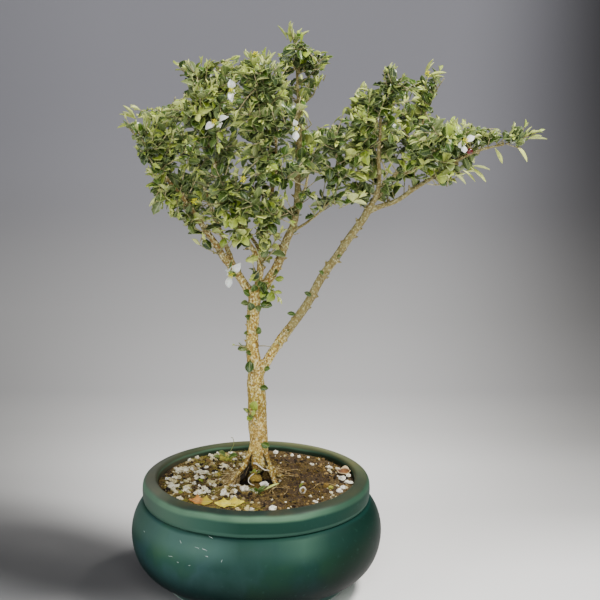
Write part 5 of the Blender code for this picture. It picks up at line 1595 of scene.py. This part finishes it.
# Single leaves and buds on the trunk and the limb: place (mm), the way it points, length, width and age
TRUNK_LEAVES = (
    ((-2, -6.6, 131), (0.15, -0.7, 0.8), 9.5, 6.5, 0.62),
    ((2.8, -6.4, 147.6), (1, -0.4, 0.1), 6.5, 4.6, 0.15),
    ((3.4, -6.6, 106.6), (1, -0.6, -0.15), 7, 5.4, 0.27), ((-3, -6.2, 124.8), (-0.7, -0.6, 0.6), 4.5, 3, 0.1),
    ((-3.6, -6.0, 168), (-0.1, -0.7, -0.8), 9.5, 6.4, 0.12),
    ((-2.6, -5.6, 172), (-0.6, -0.7, 0.5), 6, 4, 0.2), ((0.8, -5.2, 187), (0.4, -0.6, 0.75), 6.5, 5, 0.32),
    ((-4.5, -3.5, 176), (-1, -0.3, 0.05), 8, 4.6, 0.45), ((6, -3.6, 160.4), (0.6, -0.7, 0.4), 5.5, 4.4, 0.3),
    ((-2.2, -5.2, 204), (-0.2, -0.6, 0.85), 8, 5.4, 0.12),
    ((-3.4, -4.4, 197), (-0.6, -0.6, 0.6), 6, 4.2, 0.2), ((-4.2, -3.6, 186), (-0.7, -0.6, 0.3), 5, 3.6, 0.35),
    ((3.4, -3.6, 212), (0.8, -0.5, 0.35), 10, 7.5, 0.15), ((3.4, -3.4, 208), (0.9, -0.5, 0.1), 9, 6.5, 0.2),
    ((3, -3, 217), (0.5, -0.6, 0.75), 8, 6.4, 0.25), ((1.4, -4.4, 207), (0.3, -0.8, -0.5), 6, 4.6, 0.4),
    ((0, -3.6, 217), (-0.1, -0.7, 0.8), 7, 5.4, 0.3), ((-3, -3.4, 214), (-0.6, -0.6, 0.7), 7, 5, 0.25),
    ((-4.2, -2.6, 208), (-0.9, -0.4, 0.2), 6, 4.4, 0.4), ((28.6, -2, 200), (-0.9, -0.4, 0.3), 6.5, 3.4, 0.2),
    ((24, -1.5, 187.5), (-0.3, -0.8, 0.5), 4, 2.6, 0.15), ((39.5, -0.6, 213), (-0.8, -0.4, 0.6), 6, 3.4, 0.1),
    ((48, 2, 228), (-0.6, -0.5, 0.6), 5, 2.8, 0.3), ((17.5, -2.4, 178), (-0.1, -0.8, 0.6), 4.6, 3.2, 0.3),
    ((57, 4, 240), (0.6, -0.6, 0.4), 4, 2.6, 0.35), ((12.6, -1, 228), (0.3, -0.8, 0.5), 8, 6.4, 0.25),
    ((13.4, 0, 225), (0.95, -0.3, 0.2), 7, 4.6, 0.5), ((18.5, 0.6, 241), (-0.3, -0.8, 0.6), 5.5, 4.2, 0.4),
    ((-12.6, -5.6, 229), (-0.5, -0.7, 0.6), 7, 5, 0.3), ((-18, -7, 236), (0.3, -0.8, 0.6), 6, 5, 0.2),
)


# Dead twigs on the trunk and the limb (mm)
DEAD_TWIGS = (
    ((-4.8, -5.4, 124.8), (-2, -7.6, 121), (1.6, -7.4, 118)),
    ((1.6, -3, 177.3), (6, -4.6, 177.9), (11, -4.6, 177.3)), ((2, -4, 207), (6, -7, 206), (10, -7, 209)),
)


def trunk_leaves(shapes, materials):
    """Single leaves, buds and dead twigs that sit on the bark."""
    sitting = Leafing("leaves_on_trunk", shapes, clipped=False)
    for place, way, length, width, age in TRUNK_LEAVES:
        out = Vector(way).normalized()
        face = Vector((out.x * 0.2, -0.75, 0.6))
        sitting.place("round", mm(*place), out, face, length * MM, width * MM, age, True)
    for points in DEAD_TWIGS:
        add_bars(sitting.bm, [tapered([mm(*point) for point in points], 0.4 * MM, 0.25 * MM)], 2)
    sitting.finish(materials)


# Flowers

CUP_RADIUS = 1.35 * MM
PETAL_LENGTH = 9.6 * MM
PETAL_WIDTH = 9.4 * MM
STAMENS = 13
SEPALS = 5
WIDE_EYES = ("bloom_low", "bloom_left", "bloom_right")
WIDE_EYE = 2.3 * MM
NARROW_EYE = 1.6 * MM
BARE_EYE = 1.75 * MM


def petal_shape(frill, cup):
    """A spoon-shaped petal one unit long: a narrow claw and a round blade with a frilled edge."""
    def shape(side, t):
        spoon = 0.38 * abs(sin(pi * limited((t - 0.2) / 0.8) ** 0.85)) ** 0.6
        half = max(0.05 + 0.02 * t, spoon)
        edge = max(0.0, abs(side) - 0.4) + max(0.0, t - 0.8) * 2
        ripple = frill * edge * sin(9 * t + 5 * side)
        lift = cup * (side * half) ** 2 * 2 + 0.28 * t - 0.34 * t ** 2 + ripple
        return side * half, t * (1 - 0.06 * side ** 2 * t), lift

    return kept_shape(sheet(6, 8, shape, 0.035), "petal")


# Each open flower's five petals: degrees anticlockwise from straight up, how far it leans forward (below
# 0: folded back), its length and its width as shares of a full petal's
PETALS = {
    "bloom_low": (
        (-42, 0.3, 1.05, 0.85), (172, 0.15, 1.12, 0.75), (38, -1.45, 0.55, 0.7), (102, -1.4, 0.6, 0.7),
        (-118, -1.4, 0.6, 0.7),
    ),
    "bloom_left": (
        (122, 0.25, 1.12, 0.95), (-58, 0.2, 1.2, 0.8), (20, -1.3, 0.55, 0.7), (-165, -1.45, 0.5, 0.6),
        (-110, -1.4, 0.6, 0.7),
    ),
    "bloom_high": (
        (-168, 0.7, 1.5, 0.85), (8, 0.7, 1.05, 1.0), (75, -1.4, 0.5, 0.6), (-60, -1.5, 0.5, 0.6),
        (130, -1.3, 0.65, 0.7),
    ),
    "bloom_middle": (
        (170, 0.5, 1.3, 1.0), (14, 0.35, 0.9, 0.8), (95, -1.3, 0.6, 0.7), (-60, -1.3, 0.6, 0.7),
        (-120, -1.0, 0.7, 0.7),
    ),
    "bloom_right": (
        (-66, 0.3, 1.15, 0.8), (176, 0.0, 0.8, 0.8), (35, -1.3, 0.6, 0.7), (95, -1.2, 0.6, 0.7),
        (-120, -1.3, 0.6, 0.7),
    ),
}


def corolla(name, place, facing, scale, shapes, finishes):
    """Five clawed petals on a small green cup, some cupped forward and some folded back."""
    rng = random.Random(name)
    bm = new_bmesh()
    bmesh.ops.create_icosphere(bm, subdivisions=2, radius=CUP_RADIUS)
    bmesh.ops.scale(bm, vec=(1, 1, 0.6), verts=bm.verts)
    for face in bm.faces:
        face.material_index = 1
    for angle, lean, long, wide in PETALS[name.removesuffix("_petals")]:
        turn = Matrix.Rotation(radians(angle), 4, "Z")
        tilt = Matrix.Rotation(lean, 4, "X")
        roll = Matrix.Rotation(rng.uniform(-0.35, 0.35), 4, "Y")
        length = PETAL_LENGTH * scale * long
        out = Matrix.Translation((0, 0.9 * MM, 0))
        size = Matrix.Diagonal((PETAL_WIDTH * scale * wide, length, length, 1))
        add_copy(bm, rng.choice(shapes), turn @ out @ tilt @ roll @ size, 0.0)
    bmesh.ops.transform(bm, matrix=turned_to(place, facing), verts=bm.verts)
    show(name, bm, finishes, [name])


def flower_middle(name, place, facing, radius, finishes, bare):
    """Yellow stamens round a green ovary. A bare one has its sepals too."""
    rng = random.Random(name)
    bm = new_bmesh()
    bmesh.ops.create_icosphere(bm, subdivisions=2, radius=radius * 0.72)
    for face in bm.faces:
        face.material_index = 1
    head = new_bmesh()
    bmesh.ops.create_icosphere(head, subdivisions=1, radius=0.5)
    bmesh.ops.scale(head, vec=(0.7, 0.7, 1.2), verts=head.verts)
    anther = kept_shape(head, "anther")
    lines = []
    for index in range(STAMENS):
        angle = tau * index / STAMENS + rng.uniform(-0.2, 0.2)
        lean = 0.25 if index % 3 == 0 else rng.uniform(0.6, 1.0)
        way = Vector((cos(angle) * lean, sin(angle) * lean, 1)).normalized()
        tip = way * radius * rng.uniform(1.25, 1.6)
        lines.append(([way * radius * 0.4, tip * 0.8, tip], [0.16 * MM, 0.13 * MM, 0.13 * MM]))
        add_copy(bm, anther, turned_to(tip, way) @ Matrix.Scale(1.0 * MM, 4), 0.0)
    add_bars(bm, lines)
    for index in range(SEPALS if bare else 0):
        angle = tau * index / SEPALS
        way = Vector((cos(angle), sin(angle), -0.1))
        size = Matrix.Diagonal((0.9 * MM, 0.5 * MM, 2.2 * MM, 1))
        add_copy(bm, anther, turned_to(way * radius * 0.85, way.normalized()) @ size, 0.0)
    bmesh.ops.transform(bm, matrix=turned_to(place, facing), verts=bm.verts)
    show(name, bm, finishes, [name])


def blooms(petal, stamen, calyx):
    """The open flowers, and those that have dropped their petals."""
    shapes = [petal_shape(0.05, 0.9), petal_shape(0.08, 0.5), petal_shape(0.06, -0.3)]
    for name, middle, facing, has_petals, size in BLOOMS:
        facing = Vector(facing).normalized()
        middle = mm(*middle)
        if has_petals:
            corolla(f"{name}_petals", middle, facing, size, shapes, [petal, calyx])
            radius = (WIDE_EYE if name in WIDE_EYES else NARROW_EYE) * (0.3 + 0.7 * size)
            place = middle + facing * (0.85 * MM + radius * 0.6)
            flower_middle(f"{name}_eye", place, facing, radius, [stamen, calyx], False)
        else:
            flower_middle(name, middle, facing, BARE_EYE, [stamen, calyx], True)


def berry():
    """One small dark red berry on its stalk, beside the right flower."""
    skin = speckled_finish(
        "red_berry", 0.28, 260, (0.4, 0.05, 0.003, 0.003), (0.62, 0.16, 0.008, 0.006), detail=2, relief=0,
        Coat_Weight=0.3, Coat_Roughness=0.15,
    )
    stalk = speckled_finish("berry_stalk", 0.7, 600, (0.4, 0.16, 0.15, 0.03), (0.6, 0.34, 0.24, 0.06))
    bm = new_bmesh()
    place = mm(143, -50, 323.5)
    bmesh.ops.create_uvsphere(bm, u_segments=20, v_segments=12, radius=2.3 * MM)
    bmesh.ops.scale(bm, vec=(1, 1, 0.9), verts=bm.verts)
    bmesh.ops.translate(bm, vec=place, verts=bm.verts)
    stem = [place + mm(0, 0, 1.6), place + mm(-1.5, 2, 4), place + mm(-3.5, 7, 6)]
    add_bars(bm, [tapered(smooth_line(stem, 4), 0.35 * MM, 0.3 * MM)], 1)
    show("berry", bm, [skin, stalk])


# Fallen leaves

# Half widths along a dead leaf: one with pointed lobes, and one with a smooth edge
LOBED = (0.06, 0.12, 0.26, 0.36, 0.44, 0.64, 0.44, 0.36, 0.34, 0.38, 0.48, 0.68, 0.40, 0.28, 0.20, 0.10, 0.0)
SMOOTH = (0.06, 0.18, 0.32, 0.42, 0.49, 0.54, 0.57, 0.58, 0.57, 0.54, 0.50, 0.44, 0.37, 0.29, 0.20, 0.11, 0.0)


def fallen_leaf(name, middle, angle, length, width, curl, tip_up, finish, lobes, *nodes):
    """A dead leaf with its edges curled, lying on the soil with its back edge raised."""
    rows = len(lobes) - 1

    def shape(side, along):
        row = round(along * rows)
        t = row / rows
        half = lobes[row] if abs(side) > 0.9 else min(lobes[row], 0.42) * 0.95
        lift = curl * ((2 * t - 1) ** 2 + 1.2 * side ** 2 * max(0.0, half - 0.3) * 3 + 0.25 * side ** 2)
        lift += 0.35 * sin(7 * t + 4 * side)
        return side * half * width * MM, (t - 0.5) * length * MM, lift * MM

    bm = sheet(6, rows, shape, 0.35 * MM, 1e-6)
    place = Matrix.Translation((middle[0] * MM, middle[1] * MM, 0.09))
    turn = Matrix.Rotation(radians(angle - 90), 4, "Z")
    rise = Matrix.Rotation(radians(tip_up), 4, "X")
    bmesh.ops.transform(bm, matrix=place @ rise @ turn, verts=bm.verts)
    gaps = sorted(vert.co.z - soil_height(vert.co.x, vert.co.y) for vert in bm.verts)
    bmesh.ops.translate(bm, vec=-UP * (gaps[len(gaps) // 12] - 0.1 * MM), verts=bm.verts)
    show(name, bm, [finish], nodes)


def dead_finish(name, dark, light, foot_tone=None, edge_tone=None):
    """A dry leaf: mottled, with a pale midrib, and where given another tone near its foot and its edge."""
    leaf = Finish(name, 0.7)
    across, along = leaf.blade()
    aside = leaf.maths("ABSOLUTE", leaf.plus(across, -0.5))
    tone = leaf.ramp(leaf.noise(260, 4), (0.35, *dark), (0.62, *light))
    if foot_tone:
        tone = leaf.coats(tone, (foot_tone, leaf.step(along, 0.52, 0.36), 0.85))
    if edge_tone:
        tone = leaf.coats(tone, (edge_tone, leaf.step(aside, 0.40, 0.46)))
    tone = leaf.coats(tone, ((0.62, 0.50, 0.22), leaf.step(aside, 0.06, 0.015), 0.6))
    return leaf.done(tone, leaf.noise(800, 3), 0.0003, 0.6)


# Light, floor and camera

def paper_finish():
    """A pale grey sweep with painted light: painted falloff with distance, painted shade on the near left and
    on the far right, and a painted shadow left of the pot.
    """
    paper = Finish("pale_paper", 0.9)
    step = paper.step
    across, away, _ = paper.axes()
    depth = step(away, -0.1, 2.4, "LINEAR")
    # Painted shade on the far right and on the near left, along slanted edges
    right = step(paper.plus(across, paper.times(away, -0.17)), -0.04, 0.30)
    left = step(paper.plus(across, paper.times(away, 0.17)), 0.06, -0.26)
    # Painted falloff of light: the sweep is brightest in front and greys further back
    tone = paper.ramp(
        step(away, -0.1, 1.9), (0.0, 1.0), (0.085, 0.92), (0.132, 0.70), (0.2, 0.52, 0.52, 0.53),
        (0.38, 0.47, 0.47, 0.48), (0.65, 0.46, 0.46, 0.48), (1.0, 0.43, 0.43, 0.48),
    )
    far = paper.ramp(
        depth, (0.0, 0.0), (0.05, 0.14), (0.10, 0.56), (0.17, 0.75), (0.35, 0.84), (0.8, 0.94), (1.0, 0.97)
    )
    near = paper.ramp(depth, (0.05, 0.55), (0.1, 0.84), (0.2, 0.62), (0.35, 0.36), (0.8, 0.14))
    # A painted shadow: a soft dark ellipse on the floor to the left of the pot
    patch = paper.node(
        "ShaderNodeMapping",
        {"Vector": paper.place(), "Location": (-0.155, 0.050, 0), "Rotation": (0, 0, radians(-34)),
         "Scale": (0.23, 0.105, 1)}, vector_type="TEXTURE",
    ).outputs[0]
    dark = (0.01, 0.01, 0.01)
    tone = paper.coats(
        tone, (dark, right, far), (dark, left, near),
        ((0.06, 0.06, 0.063), step(paper.length(patch), 1.12, 0.3), 0.93),
    )
    return paper.done(tone)


# Lamps: name, place, the point aimed at, size, power and colour
LAMPS = (
    ("key", (0.78, 0.02, 1.45), (0.03, 0, 0.2), 0.34, 36, (1.0, 0.97, 0.92)),
    ("front", (0.1, -1.75, 1.2), (0.03, 0, 0.27), 1.1, 26, (1.0, 0.98, 0.95)),
    ("left", (-1.3, -1.1, 0.9), (0.03, 0, 0.12), 0.9, 12, (0.92, 0.96, 1.0)),
)


def studio():
    """A pale sweep, one large soft key from the upper right, and two weaker fills."""
    bm = bmesh.new()
    knots = [(-1.2, 0), (0.9, 0), (1.6, 0.05), (2.1, 0.3), (2.35, 0.8), (2.4, 1.6), (2.4, 3.4)]
    line = smooth_line([Vector((0, y, z)) for y, z in knots], 6)
    verts = [bm.verts.new((-3.2, point.y, point.z)) for point in line]
    edges = [bm.edges.new(pair) for pair in zip(verts, verts[1:])]
    grown = bmesh.ops.extrude_edge_only(bm, edges=edges)
    moved = [item for item in grown["geom"] if isinstance(item, bmesh.types.BMVert)]
    bmesh.ops.translate(bm, vec=(6.4, 0, 0), verts=moved)
    mesh = as_mesh("sweep", bm)
    mesh.shade_smooth()
    mesh.materials.append(paper_finish())
    put("sweep", mesh)
    for name, place, aim, size, power, colour in LAMPS:
        light = bpy.data.lights.new(name, "AREA")
        light.shape = "DISK"
        light.size = size
        light.energy = power
        light.color = colour
        lamp = put(name, light)
        lamp.location = place
        lamp.rotation_euler = (Vector(place) - Vector(aim)).to_track_quat("Z", "Y").to_euler()
    world = bpy.data.worlds.new("room")
    world.use_nodes = True
    room = world.node_tree.nodes["Background"].inputs
    room["Color"].default_value = (0.6, 0.62, 0.66, 1)
    room["Strength"].default_value = 0.22
    bpy.context.scene.world = world


def camera():
    """The camera that fits the photograph."""
    lens = bpy.data.cameras.new("camera")
    lens.lens = LENS
    lens.sensor_width = SENSOR
    view = put("camera", lens)
    view.location = mm(*CAMERA_PLACE)
    view.rotation_euler = (radians(90 - CAMERA_PITCH), 0, 0)
    bpy.context.scene.camera = view


def filled_pot(mossy):
    """The pot with its glaze, the soil, and the perlite, crumbs and moss that lie on it."""
    glazed_pot(glaze_finish())
    glaze_scratches(speckled_finish("scratch", 0.5, 900, (0.4, 0.45, 0.6, 0.56), (0.6, 0.78, 0.86, 0.82)))
    compost(soil_finish())
    perlite = toned_finish(
        "perlite", 0.9, (0.0, 0.66, 0.58, 0.26), (0.4, 0.93, 0.88, 0.66), (1.0, 1.0, 0.98, 0.88),
        pores=(1100, 0.34, 0.50), dark=(0.46, 0.40, 0.22), depth=1.0, relief=0.9,
    )
    crumbs = toned_finish(
        "crumbs", 0.95, (0.0, 0.012, 0.007, 0.003), (0.3, 0.075, 0.038, 0.012), (0.6, 0.34, 0.22, 0.07),
        (1.0, 0.85, 0.74, 0.40),
    )
    scattered(
        "perlite", perlite, grain_shapes(8, 0.85, "perlite"), PERLITE_GRAINS, 4.2 * MM, perlite_share,
        (0.0, 0.15, 0.3, 0.4, 0.6, 0.8, 1.0), BIG_GRAINS,
    )
    scattered(
        "crumbs", crumbs, grain_shapes(6, 0.8, "crumbs"), CRUMBS, 3.8 * MM, crumb_share,
        (0.0, 0.0, 0.0, 0.15, 0.5, 0.7, 0.85, 1.0, 1.0), dimmer=0.6,
    )
    moss(mossy)


def fallen_leaves():
    """Three dead leaves on the soil."""
    yellow = dead_finish("yellow_leaf", (0.66, 0.50, 0.02), (0.93, 0.83, 0.09))
    brown = dead_finish("brown_leaf", (0.30, 0.10, 0.020), (0.66, 0.30, 0.06), (0.52, 0.44, 0.035))
    curled = dead_finish(
        "curled_leaf", (0.07, 0.024, 0.006), (0.27, 0.11, 0.025), edge_tone=(0.60, 0.46, 0.26)
    )
    front, left = LEAF_PLACES
    fallen_leaf("fallen_leaf_yellow", front, 4, 20.5, 8.6, 0.9, 20, yellow, LOBED, "fallen_leaf_yellow")
    fallen_leaf("fallen_leaf_brown", left, 172, 17, 8, 1.4, 20, brown, LOBED, "fallen_leaf_brown")
    fallen_leaf("fallen_leaf_curled", (63, 16.5), 168, 10, 8, 3.2, 14, curled, SMOOTH)


def main():
    camera()
    studio()
    mossy = toned_finish(
        "moss", 0.95, (0.0, 0.07, 0.038, 0.010), (0.35, 0.34, 0.21, 0.035), (0.7, 0.58, 0.50, 0.08),
        (1.0, 0.27, 0.36, 0.04),
    )
    filled_pot(mossy)
    limbs = grown_limbs()
    bark_body(limbs, surface_roots(), bark_finish())
    golden = speckled_finish(
        "root_skin", 0.85, 700, (0.35, 0.17, 0.10, 0.03), (0.5, 0.40, 0.28, 0.11), (0.66, 0.70, 0.58, 0.31)
    )
    fine_roots(golden)
    upper = leaf_finish(
        "leaf_face", 0.33, (0.006, 0.022, 0.003), (0.05, 0.12, 0.006), (0.36, 0.5, 0.025), (0.86, 0.92, 0.26)
    )
    under = leaf_finish(
        "leaf_under", 0.55, (0.06, 0.10, 0.028), (0.17, 0.24, 0.060), (0.46, 0.54, 0.12), (0.78, 0.83, 0.32)
    )
    leafy = [upper, under, twig_finish()]
    shapes = leaf_shapes()
    pale = speckled_finish(
        "pale_root", 0.8, 800, (0.35, 0.62, 0.54, 0.36), (0.5, 0.84, 0.79, 0.66), (0.66, 0.93, 0.91, 0.84)
    )
    small_things(shapes, leafy, mossy, pale, golden)
    for name, limb, share, tips in SPRAYS:
        spray = leafy_spray(name, limbs[limb], share, tips, shapes)
        spray.leafed()
        for sprig in SPRIGS.get(name, ()):
            spray.sprig(*sprig)
        spray.finish(leafy, name)
    for name in INNER_TWIGS:
        filled = inner_twigs(name, limbs, shapes)
        filled.leafed()
        filled.finish(leafy)
    trunk_leaves(shapes, leafy)
    stamen = speckled_finish(
        "yellow_stamen", 0.7, 900, (0.35, 0.42, 0.46, 0.01), (0.5, 0.78, 0.72, 0.01),
        (0.68, 0.95, 0.84, 0.04), detail=2, relief=0,
    )
    calyx = speckled_finish(
        "green_calyx", 0.6, 700, (0.4, 0.16, 0.26, 0.05), (0.6, 0.35, 0.44, 0.10), detail=2, relief=0
    )
    blooms(petal_finish(), stamen, calyx)
    berry()
    fallen_leaves()


main()
